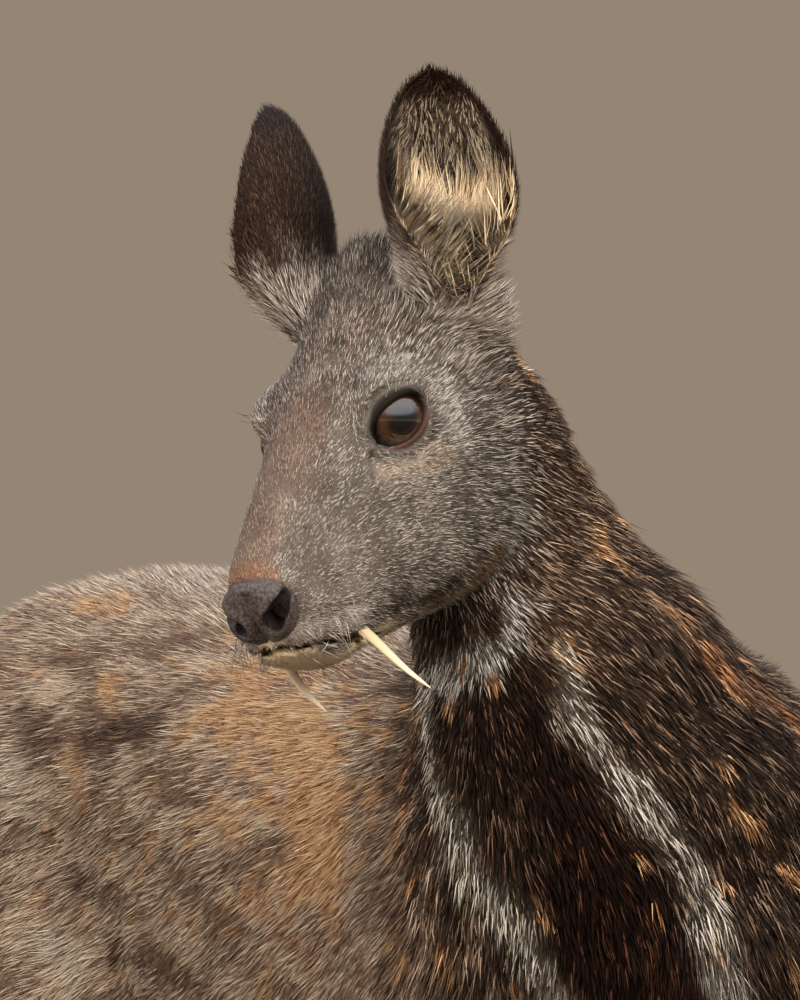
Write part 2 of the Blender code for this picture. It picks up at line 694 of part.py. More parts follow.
def mouth_cutter():
    """A thin bent sheet along the line of the mouth and down behind its corner."""
    path = np.array(MOUTH)
    half = 0.02
    above, below = [], []
    for i, point in enumerate(path):
        a, b = path[max(i - 1, 0)], path[min(i + 1, len(path) - 1)]
        along = (b - a) / np.linalg.norm(b - a)
        normal = np.array((along[1], -along[0]))
        above.append(point - normal * half)
        below.append(point + normal * half)
    outline = above + below[::-1]
    count = len(outline)
    places = [(x, y, z) for y in (-6.0, 6.0) for x, z in outline]
    faces = [[i, (i + 1) % count, count + (i + 1) % count, count + i] for i in range(count)]
    steps = len(path)
    for shift, order in ((0, 1), (count, -1)):
        for i in range(steps - 1):
            quad = [shift + i, shift + i + 1, shift + count - 2 - i, shift + count - 1 - i]
            faces.append(quad[::order])
    return tidy(new_object("cutter", placed_on_head(places), faces))


def hoof(name, foot, aside):
    """A narrow pointed hoof: flat sole, sloping front wall, rounded heel, its top inside the foot."""
    length, width, height = HOOF
    rings = []
    levels = ((0.0, 1.0, 1.0), (0.12, 0.99, 1.04), (0.4, 0.86, 1.0), (0.7, 0.68, 0.92), (1.0, 0.5, 0.8))
    for t, long, wide in levels:
        ring = []
        for a in np.arange(12) * 2 * np.pi / 12:
            x = math.cos(a)
            y = math.sin(a) * (1 - 0.5 * max(x, 0) ** 1.5)
            back = (1 - long) * length * 0.42
            ring.append((x * length / 2 * long - back, y * width / 2 * wide, t * height))
        rings.append(np.array(ring) + (foot, aside, 0))
    return tube(name, rings)


def dewclaw(name, foot, aside):
    """A long claw behind the foot: a small flat toe on the ground, its root inside the pastern."""
    rings = []
    for x, z, long, wide in DEWCLAW:
        a = np.arange(10) * 2 * np.pi / 10
        ring = np.column_stack([np.cos(a) * long, np.sin(a) * wide, np.zeros(10)])
        rings.append(ring + (foot + x, aside, z))
    return tube(name, rings)


def tail():
    """A short tail that hangs close behind the rump."""
    rings = []
    for i, (x, z, radius) in enumerate(TAIL):
        a = np.arange(12) * 2 * np.pi / 12
        before, after = TAIL[max(i - 1, 0)], TAIL[min(i + 1, len(TAIL) - 1)]
        along = np.array((after[0] - before[0], 0, after[1] - before[1]), float)
        along /= np.linalg.norm(along)
        front = np.cross((0, 1, 0), along)
        ring = np.outer(np.cos(a) * radius, front) + np.outer(np.sin(a) * radius, (0, 1, 0))
        rings.append(np.array((x, 0, z)) + ring)
    return tube("tail", rings)


def flesh_objects():
    """The head and the rest of the body as two thinned closed surfaces that pass each other at the nape."""
    point, direction, _ = NAPE_CUT
    behind = np.array(direction) / np.linalg.norm(direction)

    def past(p, shift):
        q = (p - np.array(HEAD_CENTRE)) @ HEAD_AXES
        return (q - np.array(point)) @ behind - shift

    def body_field(p):
        return np.maximum(flesh(p), past(p, 2.5) - 100.0 * (p[:, 2] < 56))

    xs = graded(-50, 16, 1.0, ((-4.0, 4.0, 0.45), (-46.0, -38.0, 0.5)))
    ys = graded(-24, 13, 1.0, ((-9.5, -4.0, 0.5), (4.0, 9.5, 0.5)))
    zs = graded(0.8, 76, 1.1, ((2.0, 4.0, 0.5),))
    places, faces = skin_net(body_field, xs, ys, zs)
    body = thinned(new_object("body", settle(body_field, places), faces), BODY_BUDGET)

    def head_field(q):
        p = q @ HEAD_AXES.T + np.array(HEAD_CENTRE)
        made = np.maximum(flesh(p), -past(p, -1.2))
        return np.maximum(made, np.maximum(-12.4 - q[:, 2], np.abs(q[:, 1]) - 6.8))

    xs, ys, zs = np.arange(-13, 11, 0.2), np.arange(-7.2, 7.4, 0.2), np.arange(-13, 8, 0.2)
    places, faces = skin_net(head_field, xs, ys, zs)
    skull = new_object("head", placed_on_head(settle(head_field, places)), faces)
    return body, thinned(skull, HEAD_BUDGET)


def body_pieces(body):
    """Cuts the trunk, neck and legs apart and names them by the places inside them."""
    for centre, direction, radius in BODY_CUTS:
        combined(body, disc(centre, direction, radius), "DIFFERENCE")
    seeds = dict(BODY_SEEDS)
    for name, place in BODY_SEEDS.items():
        if "left" in name:
            seeds[name.replace("left", "right")] = tuple(mirrored(place))
    named = {}
    for piece in loose_pieces(body)[: len(seeds)]:
        middle = np.mean([v.co for v in piece.data.vertices], axis=0) / CM
        name = min(seeds, key=lambda s: np.linalg.norm(middle - np.array(seeds[s])))
        piece.name = name
        named[name] = piece
        seeds.pop(name)
    return named


def feet(named):
    """Two hooves and two dewclaws on each foot, each parted from the leg by the gap."""
    for leg, (along, across) in (("foreleg", FORE_SOLE), ("hindleg", HIND_SOLE)):
        for side, word in ((1, "left"), (-1, "right")):
            swell = swollen(named[f"{leg}_{word}_lower"])
            for share, where in ((1, "outer"), (-1, "inner")):
                toe = hoof(f"{leg}_{word}_hoof_{where}", along, side * (across + share * TOE_SPACE))
                aside = side * (across + share * (TOE_SPACE + 0.2))
                for made in (toe, dewclaw(f"{leg}_{word}_claw_{where}", along, aside)):
                    combined(made, swell, "DIFFERENCE", drop=False)
                    largest_only(made)
            bpy.data.objects.remove(swell)


def largest_only(obj):
    """Keeps an object's largest closed surface."""
    name = obj.name
    pieces = loose_pieces(obj)
    for extra in pieces[1:]:
        bpy.data.objects.remove(extra)
    pieces[0].name = name
    return pieces[0]


def head_pieces(skull):
    """Ears, tusks, eyes, nose pad and lower jaw, each parted from the head by the gap."""
    swell = swollen(skull)
    for side, word in ((1, "left"), (-1, "right")):
        for made in (ear("ear_" + word, side), tusk("tusk_" + word, side)):
            combined(made, swell, "DIFFERENCE", drop=False)
            largest_only(made)
        eye("eye_" + word, side)
        combined(skull, eye("socket", side, GAP / CM), "DIFFERENCE")
    bpy.data.objects.remove(swell)
    centre, direction, radius = PAD_CUT
    combined(skull, disc(on_head(centre), HEAD_AXES @ np.array(direction), radius), "DIFFERENCE")
    combined(skull, mouth_cutter(), "DIFFERENCE")
    pieces = loose_pieces(skull)
    seeds = (("nose_pad", (8.6, 0, -3.3)), ("lower_jaw", (5.6, 0, -7.0)), ("head", (-1.5, 0, -2.0)))
    for name, seed in seeds:
        seed = np.array(on_head(seed))
        middles = [np.mean([v.co for v in p.data.vertices], axis=0) / CM for p in pieces]
        best = min(range(len(pieces)), key=lambda i: np.linalg.norm(middles[i] - seed))
        pieces.pop(best).name = name
    for extra in pieces:
        bpy.data.objects.remove(extra)
    for side in (1, -1):
        places = placed_on_head(np.array([np.array(NOSTRIL[0]) * (1, side, 1)]))[0]
        combined(bpy.data.objects["nose_pad"], ball("hole", places, NOSTRIL[1], HEAD_AXES), "DIFFERENCE")


def lock(root, normal, flow, sizes, grow=1.0):
    """Rings of a flat lock: a rhombus carried along a path that rises from the skin and lies down again."""
    length, width, thick, lift, deep = sizes
    flow = flow - normal * (flow @ normal)
    flow = flow / np.linalg.norm(flow)
    aside = np.cross(normal, flow)
    rings, place, before = [], root - normal * deep - flow * deep, 0.0
    for share, wide, high in LOCK_SHAPE:
        angle = math.radians(lift * (2.0 - 2.4 * share))
        ahead = flow * math.cos(angle) + normal * math.sin(angle)
        place = place + ahead * (share - before) * length * grow
        before = share
        half, tall = aside * (width * grow / 2 * wide), np.cross(ahead, aside) * (-thick / 2 * high)
        rings.append([place + half, place + tall, place - half, place - tall])
    return rings


def clear_of(points, trees, own):
    """Whether places keep their distance from every node but their own."""
    for name, tree in trees.items():
        for point in points if name != own else ():
            near, normal, _, far = tree.find_nearest(Vector(point * CM))
            if far < LOCK_CLEAR * CM or (far < 4 * CM and (Vector(point * CM) - near).dot(normal) < 0):
                return False
    return True


def surface_tree(obj):
    """A node's faces in a tree for finding the nearest place on them."""
    net = bmesh.new()
    net.from_mesh(obj.data)
    tree = BVHTree.FromBMesh(net)
    net.free()
    return tree


def row_locks(tree, row, draw):
    """The locks of one row, each rooted where the node is nearest to an even share of the row."""
    _, kind, count, first, last, flow, both = row
    for side in (1, -1) if both else (1,):
        for share in (np.arange(count) + draw.uniform(0.35, 0.65, count)) / count:
            place = np.array(first) * (1 - share) + np.array(last) * share + draw.normal(0, 1.0, 3)
            place = place * (1, side, 1)
            near, normal, _, _ = tree.find_nearest(Vector(place * CM))
            way = np.array(flow) * (1, side, 1) + draw.normal(0, 0.07, 3)
            yield lock(np.array(near) / CM, np.array(normal), way, LOCK_KINDS[kind], draw.uniform(0.85, 1.15))


def ear_locks(tree, side, draw):
    """The locks in an ear, rooted on its inner face and pointing to its tip."""
    base, along, opens, across = ear_axes(side)
    for share, turn in EAR_LOCKS:
        long = np.linalg.norm(np.array(EAR_TIP) - base)
        own = base + along * share * long + opens * 0.8 + across * 2.0 * turn
        near, normal, _, _ = tree.find_nearest(Vector(placed_on_head(own * (1, side, 1)) * CM))
        way = HEAD_AXES @ ((along + opens * 0.1 - across * 0.5 * turn) * (1, side, 1))
        yield lock(np.array(near) / CM, np.array(normal), way, LOCK_KINDS["ear"], draw.uniform(0.85, 1.15))


def add_locks():
    """Roots the locks on their nodes, leaves out those that come near another node, and joins them."""
    trees = {obj.name: surface_tree(obj) for obj in bpy.data.objects}
    for name in ("torso", "neck", "ear_left", "ear_right"):
        draw = np.random.default_rng(SEED)
        made = []
        for row in LOCK_ROWS:
            if row[0] == name:
                made += row_locks(trees[name], row, draw)
        if name.startswith("ear"):
            made += ear_locks(trees[name], 1 if "left" in name else -1, draw)
        group = bpy.data.collections.new("locks")
        for rings in made:
            if clear_of([p for ring in rings for p in ring], trees, name):
                piece = tube("lock", rings)
                bpy.context.scene.collection.objects.unlink(piece)
                group.objects.link(piece)
        obj = bpy.data.objects[name]
        joined(obj, group)


def joined(obj, group):
    """Joins a collection of closed pieces to an object by one union and keeps the largest closed surface."""
    before = obj.data.copy()
    for solver in ("EXACT", "MANIFOLD"):
        change = obj.modifiers.new("locks", "BOOLEAN")
        change.operation, change.operand_type, change.collection = "UNION", "COLLECTION", group
        change.solver = solver
        tidy(applied(obj))
        if is_closed(obj.data):
            break
        obj.data = before.copy()
    bpy.data.meshes.remove(before)
    for piece in list(group.objects):
        bpy.data.objects.remove(piece)
    bpy.data.collections.remove(group)
    return largest_only(obj)


def finish_for(name):
    """The material of a piece, by the words in its name."""
    for words, title, colour, roughness in FINISHES:
        if any(word in name.split("_") for word in words.split()):
            if title in bpy.data.materials:
                return bpy.data.materials[title]
            made = bpy.data.materials.new(title)
            made.use_nodes = True
            shader = made.node_tree.nodes["Principled BSDF"]
            shader.inputs["Base Color"].default_value = (*colour, 1.0)
            shader.inputs["Roughness"].default_value = roughness
            shader.inputs["Metallic"].default_value = 0.0
            made.diffuse_color = (*colour, 1.0)
            return made
    raise ValueError(name)


def main():
    for old in list(bpy.data.objects):
        bpy.data.objects.remove(old)
    body, skull = flesh_objects()
    point, direction, radius = NAPE_CUT
    cut = disc(on_head(point), HEAD_AXES @ np.array(direction), radius)
    combined(skull, cut, "DIFFERENCE", drop=False)
    skull = loose_pieces(skull)
    for extra in skull[1:]:
        bpy.data.objects.remove(extra)
    combined(body, cut, "DIFFERENCE")
    body = loose_pieces(body)
    for extra in body[1:]:
        bpy.data.objects.remove(extra)
    named = body_pieces(body[0])
    feet(named)
    rump = swollen(named["torso"])
    combined(tail(), rump, "DIFFERENCE")
    largest_only(bpy.data.objects["tail"])
    head_pieces(skull[0])
    add_locks()
    objects = [o for o in bpy.data.objects if o.type == "MESH"]
    corners = np.concatenate([[v.co for v in o.data.vertices] for o in objects])
    middle = (corners.min(0) + corners.max(0)) / 2
    shift = -np.array((middle[0], middle[1], corners[:, 2].min()))
    for obj in objects:
        obj.data.name = obj.name
        moved = np.array([v.co for v in obj.data.vertices]) + shift
        obj.data.vertices.foreach_set("co", moved.astype(np.float32).ravel())
        obj.data.materials.append(finish_for(obj.name))
        obj.data.shade_smooth()
        obj.data.set_sharp_from_angle(angle=math.radians(SHARP_ANGLE))
        obj.data.update()
    return shift


SHIFT = main()
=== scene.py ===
"""The looks of a life-size siberian musk deer: skin, coat, ears, eyes, nose, tusks and hooves.

Shapes are worked out in centimetres, with the trunk along +X, its left side at +Y and the floor at z = 0,
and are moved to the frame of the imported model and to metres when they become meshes.
"""
from __future__ import annotations

import logging
import math
from dataclasses import dataclass, field
from enum import Enum
from typing import Callable, Sequence

import bmesh
import bpy
import numpy as np
from mathutils import Matrix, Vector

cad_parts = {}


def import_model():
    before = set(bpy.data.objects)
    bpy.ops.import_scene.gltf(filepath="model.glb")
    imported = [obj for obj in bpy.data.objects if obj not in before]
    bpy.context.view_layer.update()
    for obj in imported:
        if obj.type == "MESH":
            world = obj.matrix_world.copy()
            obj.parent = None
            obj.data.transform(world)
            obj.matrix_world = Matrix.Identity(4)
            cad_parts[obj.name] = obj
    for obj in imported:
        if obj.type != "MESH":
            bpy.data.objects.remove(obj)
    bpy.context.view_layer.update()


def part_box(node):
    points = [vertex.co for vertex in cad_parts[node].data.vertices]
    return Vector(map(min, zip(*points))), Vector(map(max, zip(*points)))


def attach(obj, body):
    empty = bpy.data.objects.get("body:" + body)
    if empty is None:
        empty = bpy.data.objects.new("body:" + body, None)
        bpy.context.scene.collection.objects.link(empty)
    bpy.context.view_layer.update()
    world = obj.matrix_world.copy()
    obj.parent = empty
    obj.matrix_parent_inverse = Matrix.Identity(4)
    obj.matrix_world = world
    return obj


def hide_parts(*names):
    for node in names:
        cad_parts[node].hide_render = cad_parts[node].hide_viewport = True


log = logging.getLogger("musk_deer")

CM = 0.01
SEED = 5834
CHUNK = 2000
HEAD_REACH, BODY_REACH = 0.8, 6.0
Array = np.ndarray
Place = tuple[float, float, float]
Distance = Callable[[Array], Array]
Thing = bpy.types.Object
Socket = bpy.types.NodeSocket


def turned(axis: int, degrees: float) -> Array:
    """The matrix of a turn about one axis: cosines on its diagonal and plus and minus the sine beside them.

    Args:
        axis: 0, 1 or 2 for x, y or z.
        degrees: how far it turns, counter-clockwise.

    Returns:
        A 3 by 3 matrix.
    """
    c, s = math.cos(math.radians(degrees)), math.sin(math.radians(degrees))
    i, j = (axis + 1) % 3, (axis + 2) % 3
    made = np.eye(3)
    made[i, i] = made[j, j] = c
    made[i, j], made[j, i] = -s, s
    return made


def unit(v: Array) -> Array:
    """Vectors divided by their lengths."""
    return v / np.maximum(np.linalg.norm(v, axis=-1, keepdims=True), 1e-9)


def smooth(low: float, high: float, x: Array) -> Array:
    """0 at low and 1 at high, and 3t^2 - 2t^3 of the share t between them."""
    t = np.clip((x - low) / (high - low), 0, 1)
    return t * t * (3 - 2 * t)


def mirrored(p: Array) -> Array:
    """Places with their distance to the left made positive, so that one side stands for both."""
    return np.column_stack([p[:, 0], np.abs(p[:, 1]), p[:, 2]])


def linear(colour: Sequence[float]) -> Array:
    """Screen colour (0 to 255) as linear light: ((c + 0.055) / 1.055)^2.4, or c / 12.92 where it is dark."""
    c = np.array(colour, float) / 255
    return np.where(c < 0.04045, c / 12.92, ((c + 0.055) / 1.055) ** 2.4)


class Waves:
    """A smooth random field: the mean of sines along seeded directions, about -1 to 1."""

    def __init__(self, size: float, seed: int, count: int = 14) -> None:
        """Draws the directions and phases.

        Args:
            size: length of the shortest wave in centimetres.
            seed: number that fixes the draw.
            count: how many sines there are.
        """
        draw = np.random.default_rng(seed)
        self.k = unit(draw.normal(size=(count, 3))) * (2 * np.pi / (size * draw.uniform(1, 2.6, (count, 1))))
        self.phase = draw.uniform(0, 2 * np.pi, count)

    def __call__(self, p: Array) -> Array:
        """The field at places."""
        return np.sin(p @ self.k.T + self.phase).sum(1) / math.sqrt(len(self.phase)) * 0.8


class Curves:
    """Natural cubic curves through the rows of a table, one for each of its columns after the first."""

    def __init__(self, table: Sequence[Sequence[float]]) -> None:
        """Solves for the second derivatives, which are nought at both ends.

        Args:
            table: rows of a place along the curve and the values there.
        """
        rows = np.array(table, float)
        self.x, self.values = rows[:, 0], rows[:, 1:]
        step = np.diff(self.x)
        slope = np.diff(self.values, axis=0) / step[:, None]
        system, right = np.eye(len(self.x)), np.zeros_like(self.values)
        inner = np.arange(1, len(self.x) - 1)
        system[inner, inner - 1], system[inner, inner + 1] = step[:-1], step[1:]
        system[inner, inner] = 2 * (step[:-1] + step[1:])
        right[inner] = 6 * np.diff(slope, axis=0)
        self.bend = np.linalg.solve(system, right)

    def __call__(self, x: Array) -> Array:
        """The values at x, one row for each column: the cubic of the span that holds x."""
        x = np.clip(x, self.x[0], self.x[-1])
        i = np.clip(np.searchsorted(self.x, x) - 1, 0, len(self.x) - 2)
        step = (self.x[i + 1] - self.x[i])[:, None]
        a = (self.x[i + 1] - x)[:, None] / step
        b = 1 - a
        bent = ((a**3 - a) * self.bend[i] + (b**3 - b) * self.bend[i + 1]) * step**2 / 6
        return (a * self.values[i] + b * self.values[i + 1] + bent).T


def loft(p: Array, curves: Curves, fullness: float = 2.3) -> Array:
    """Roughly the distance to a loft along x, whose sections are |y/a|^n + |z/b|^n = 1.

    Args:
        p: places.
        curves: top, bottom and half width along x.
        fullness: the power n.

    Returns:
        Distances, less than nought inside.
    """
    top, bottom, half = curves(p[:, 0])
    middle, rise = (top + bottom) / 2, (top - bottom) / 2
    across, up = np.abs(p[:, 1]) / half, np.abs(p[:, 2] - middle) / rise
    q = (across**fullness + up**fullness + 1e-9) ** (1 / fullness)
    side = (q - 1) * np.hypot(p[:, 1], p[:, 2] - middle) / np.maximum(q, 1e-3)
    beyond = np.maximum(curves.x[0] - p[:, 0], p[:, 0] - curves.x[-1])
    capped = np.hypot(np.maximum(side, 0), np.maximum(beyond, 0)) + np.minimum(np.maximum(side, beyond), 0)
    return np.where(beyond > 0, capped, np.maximum(side, beyond))


def cone(p: Array, a: Sequence[float], b: Sequence[float], radius_a: float, radius_b: float) -> Array:
    """Distance to a rounded cone: that to the nearest place between a and b, less the radius there."""
    a, b = np.array(a, float), np.array(b, float)
    along = b - a
    t = np.clip((p - a) @ along / (along @ along), 0, 1)
    return np.linalg.norm(p - a - t[:, None] * along, axis=1) - (radius_a + (radius_b - radius_a) * t)


def ellipsoid(p: Array, centre: Sequence[float], radii: Sequence[float], axes: Array | None = None) -> Array:
    """Roughly the distance to an ellipsoid: n (n - 1) / |q / r^2|, where n is |q / r|."""
    q = p - np.array(centre, float)
    if axes is not None:
        q = q @ axes
    radii = np.array(radii, float)
    near = np.linalg.norm(q / radii, axis=1)
    return near * (near - 1) / np.maximum(np.linalg.norm(q / radii**2, axis=1), 1e-6)


def blend(a: Array, b: Array, reach: float) -> Array:
    """The lesser of two distances, less h^2 reach / 4, h being 1 less their difference over the reach."""
    h = np.maximum(reach - np.abs(a - b), 0) / reach
    return np.minimum(a, b) - h * h * reach / 4


def carve(a: Array, b: Array, reach: float) -> Array:
    """What is left of form a when form b is cut out of it, with the edge rounded over a reach."""
    return -blend(-a, b, reach)


def chain(p: Array, stations: Sequence[Sequence[float]], reach: float) -> Array:
    """A limb: rounded cones between (x, y, z, radius) stations, blended one into the next."""
    made = None
    for a, b in zip(stations[:-1], stations[1:]):
        piece = cone(p, a[:3], b[:3], a[3], b[3])
        made = piece if made is None else blend(made, piece, reach)
    return made


def from_line(p: Array, path: Sequence[Place]) -> Array:
    """Distance to a bent line of places, the least of those to its straight runs."""
    if len(path) == 1:
        return np.linalg.norm(p - np.array(path[0]), axis=1)
    return np.min([cone(p, a, b, 0, 0) for a, b in zip(path[:-1], path[1:])], axis=0)


@dataclass(frozen=True)
class Eye:
    """Where an eye sits on the head, its own axes (outward, back, up) and the lids' opening."""

    centre: Place = (-0.6, 2.45, -0.12)
    radius: float = 1.38
    swing: float = 60.0
    lift: float = 6.0
    opening: float = 1.26
    rim_forward: float = 0.74
    rim_radius: float = 0.3
    slit: tuple[float, float] = (1.2, 0.8)
    slant: float = 12.0

    @property
    def axes(self) -> Array:
        """The eye's axes as columns, in the head's own axes."""
        return turned(2, self.swing) @ turned(1, -self.lift)

    @property
    def lid_axes(self) -> Array:
        """The eye's axes turned about the outward one, so that the lids' opening rises to the back."""
        return self.axes @ turned(0, self.slant)


@dataclass(frozen=True)
class Head:
    """The head's own axes (forward, left, up of the middle between the eyes) and its form."""

    centre: Place = (6.0, -17.5, 65.6)
    turn: float = -68.5
    nod: float = 28.5
    tilt: float = 10.2
    eye: Eye = field(default_factory=Eye)
    profile: tuple = (
        (-8, 3.4, -1.5, 1.4), (-7.2, 5.3, -3.9, 2.9), (-5.6, 5.4, -6.3, 3.8), (-3.4, 4.2, -7.8, 4),
        (-1.2, 3.2, -8.1, 3.75), (1, 2.1, -7.9, 3.25), (3.2, 1, -7.5, 2.8), (5.2, 0.05, -7.2, 2.45),
        (6.9, -0.75, -6.8, 2.1), (8.1, -1.5, -5.75, 1.6), (8.8, -2.2, -4.8, 0.9),
    )
    lumps: tuple = (
        ((-0.9, 2.5, 1.3), (2, 1.15, 0.9), 1.2), ((-1.4, 2.4, -4.4), (4.2, 1.3, 3), 2.5),
        ((5.9, 1.2, -4.9), (2.2, 1, 1.3), 1.2), ((-5.9, 3, 2.6), (1.9, 1.5, 1.9), 1.5),
        ((-6.9, 3.8, 1.5), (1.5, 1.3, 2.3), 1), ((7.95, 0.55, -3.3), (0.95, 0.95, 1.2), 0.4),
    )
    mouth: tuple = ((9.6, 0, -4.75), (8.8, 0, -4.95), (7.4, 0, -5.5), (5.7, 0, -6.4), (3.6, 0, -7.1))
    nostril: tuple = (
        (7.9, 0.75, -3.5, 0.34), (9.3, 0.95, -3.7, 0.42), (8.75, 1.3, -3.25, 0.34),
        (8.2, 1.65, -2.75, 0.18),
    )

    @property
    def axes(self) -> Array:
        """The head's axes as columns."""
        return turned(2, self.turn) @ turned(1, self.nod) @ turned(0, self.tilt)

    def to_own(self, p: Array) -> Array:
        """Places of the body's axes in the head's own."""
        return (p - np.array(self.centre)) @ self.axes

    def to_body(self, q: Array) -> Array:
        """Places of the head's own axes in the body's."""
        return np.array(self.centre) + np.asarray(q) @ self.axes.T

    def solid(self, q: Array) -> Array:
        """Distance to the skull with its coat: a loft blended with lumps, less the eyes' openings.

        Args:
            q: places in the head's own axes.

        Returns:
            Distances.
        """
        near = mirrored(q)
        made = loft(q, Curves(self.profile), 2.2)
        for centre, radii, reach in self.lumps:
            made = blend(made, ellipsoid(near, centre, radii), reach)
        centre, axes = np.array(self.eye.centre), self.eye.axes
        open_to = cone(near, centre, centre + axes[:, 0] * 4, self.eye.opening, self.eye.opening + 0.8)
        made = carve(made, open_to, 0.3)
        own = (near - centre) @ axes
        ring = np.hypot(own[:, 1] / 1.08, own[:, 2] / 0.94) - self.eye.opening
        return blend(made, np.hypot(ring, own[:, 0] - self.eye.rim_forward) - self.eye.rim_radius, 0.3)

    def to_eye(self, q: Array, axes: Array) -> Array:
        """Places from the nearer eye's centre, in axes at the eye."""
        return (mirrored(q) - np.array(self.eye.centre)) @ axes

    def from_eye(self, q: Array) -> Array:
        """Distance from the nearer eye's outward axis, in front of the eye."""
        own = self.to_eye(q, self.eye.axes)
        return np.where(own[:, 0] > 0, np.hypot(own[:, 1], own[:, 2]), np.linalg.norm(own, axis=1) + 1)

    def from_lids(self, q: Array) -> Array:
        """Distance outside the bare edge of the nearer eye's lids, an edge that is wider above."""
        own = self.to_eye(q, self.eye.lid_axes)
        long, high = self.eye.slit
        far = (np.hypot(own[:, 1] / long, own[:, 2] / high) - 1) * (long + high) / 2
        bare = 0.11 + 0.15 * smooth(-0.4, 0.5, own[:, 2] / high)
        return np.where(own[:, 0] > 0.2, far - bare, np.linalg.norm(own, axis=1))

    def round_eye(self, q: Array) -> Array:
        """The way from the nearer eye's axis, with a length that falls from 1 to 0 away from the lids."""
        own = self.to_eye(q, self.eye.axes)
        away = unit(own * (0, 1, 1)) @ self.eye.axes.T * smooth(1.1, 0.1, self.from_lids(q))[:, None]
        return away * np.column_stack([np.ones(len(q)), np.sign(q[:, 1]), np.ones(len(q))])

    def lips(self, q: Array) -> Array:
        """Distance from the line between the lips, which is a sheet seen from the side as a bent line."""
        flat = np.column_stack([q[:, 0], np.zeros(len(q)), q[:, 2]])
        return from_line(flat, self.mouth)


@dataclass(frozen=True)
class Body:
    """Trunk, neck and legs, as rows of distances and radii."""

    trunk: tuple = (
        (-46, 52.5, 47, 2.6), (-44.5, 55.5, 43.5, 5.6), (-41.5, 58.4, 40.5, 8), (-36, 60.3, 38, 9.6),
        (-29, 60.5, 37, 10.2), (-21, 59.6, 36, 10.6), (-13, 58.6, 34.5, 10.6), (-5, 58.8, 33.3, 10),
        (0, 58.8, 33.5, 9.4), (5, 56, 35, 8.6), (8.6, 51.7, 37.4, 6.8), (11.2, 48, 39.6, 4.6),
        (12.6, 45.8, 42, 1.9),
    )
    neck: tuple = (
        (4, -11.2, 66.8, 4), (3.9, -9.9, 64.8, 4.1), (3.8, -8.6, 62, 4.35), (3.8, -6.9, 59, 5),
        (3.8, -4.8, 55.2, 6.5), (3.8, -2.4, 50.6, 7.9), (4, 0, 45.4, 8.4),
    )
    foreleg: tuple = (
        (-0.5, 5.6, 44, 5), (-1.8, 6.6, 37, 4.2), (-1, 6.9, 31, 2.95), (0.2, 6.8, 25, 2.2),
        (1, 6.6, 20, 1.8), (1.3, 6.5, 17.6, 1.85), (1.1, 6.5, 14.8, 1.45), (0.7, 6.5, 8.2, 1.3),
        (0.8, 6.5, 5.8, 1.55), (1.9, 6.5, 3.2, 1.35),
    )
    hindleg: tuple = (
        (-35, 5.4, 49, 7.2), (-29.5, 7.2, 40.5, 5.4), (-32.5, 7.5, 34.5, 4.3), (-37, 7.4, 29.5, 3),
        (-41.6, 7.2, 25, 2.1), (-43.1, 7.1, 22.9, 1.95), (-42.9, 7, 20, 1.65), (-41.6, 7, 10.5, 1.45),
        (-41, 7, 6.6, 1.7), (-39.4, 7, 3.2, 1.4),
    )
    tail: tuple = ((-44, 0, 51, 1.3), (-46.2, 0, 49.6, 1.6), (-47.2, 0, 47.4, 1.5), (-47.2, 0, 45.6, 0.9))
    thigh: tuple = ((-36, 4.4, 47.5), (8.4, 6, 10.8))
    shoulder: tuple = ((0.5, 4.3, 45.5), (7.4, 5.6, 11))

    def solid(self, p: Array) -> Array:
        """Distance to the coated body without its head: the trunk's loft blended with the limbs."""
        side = mirrored(p)
        made = loft(p, Curves(self.trunk))
        made = blend(made, chain(side, self.foreleg, 2.0), 4.0)
        made = blend(made, ellipsoid(side, *self.thigh), 3.0)
        made = blend(made, chain(side, self.hindleg, 2.5), 3.0)
        made = blend(made, ellipsoid(side, *self.shoulder), 3.0)
        made = blend(made, chain(p, self.neck, 1.0), 2.5)
        return blend(made, chain(p, self.tail, 0.8), 0.6)


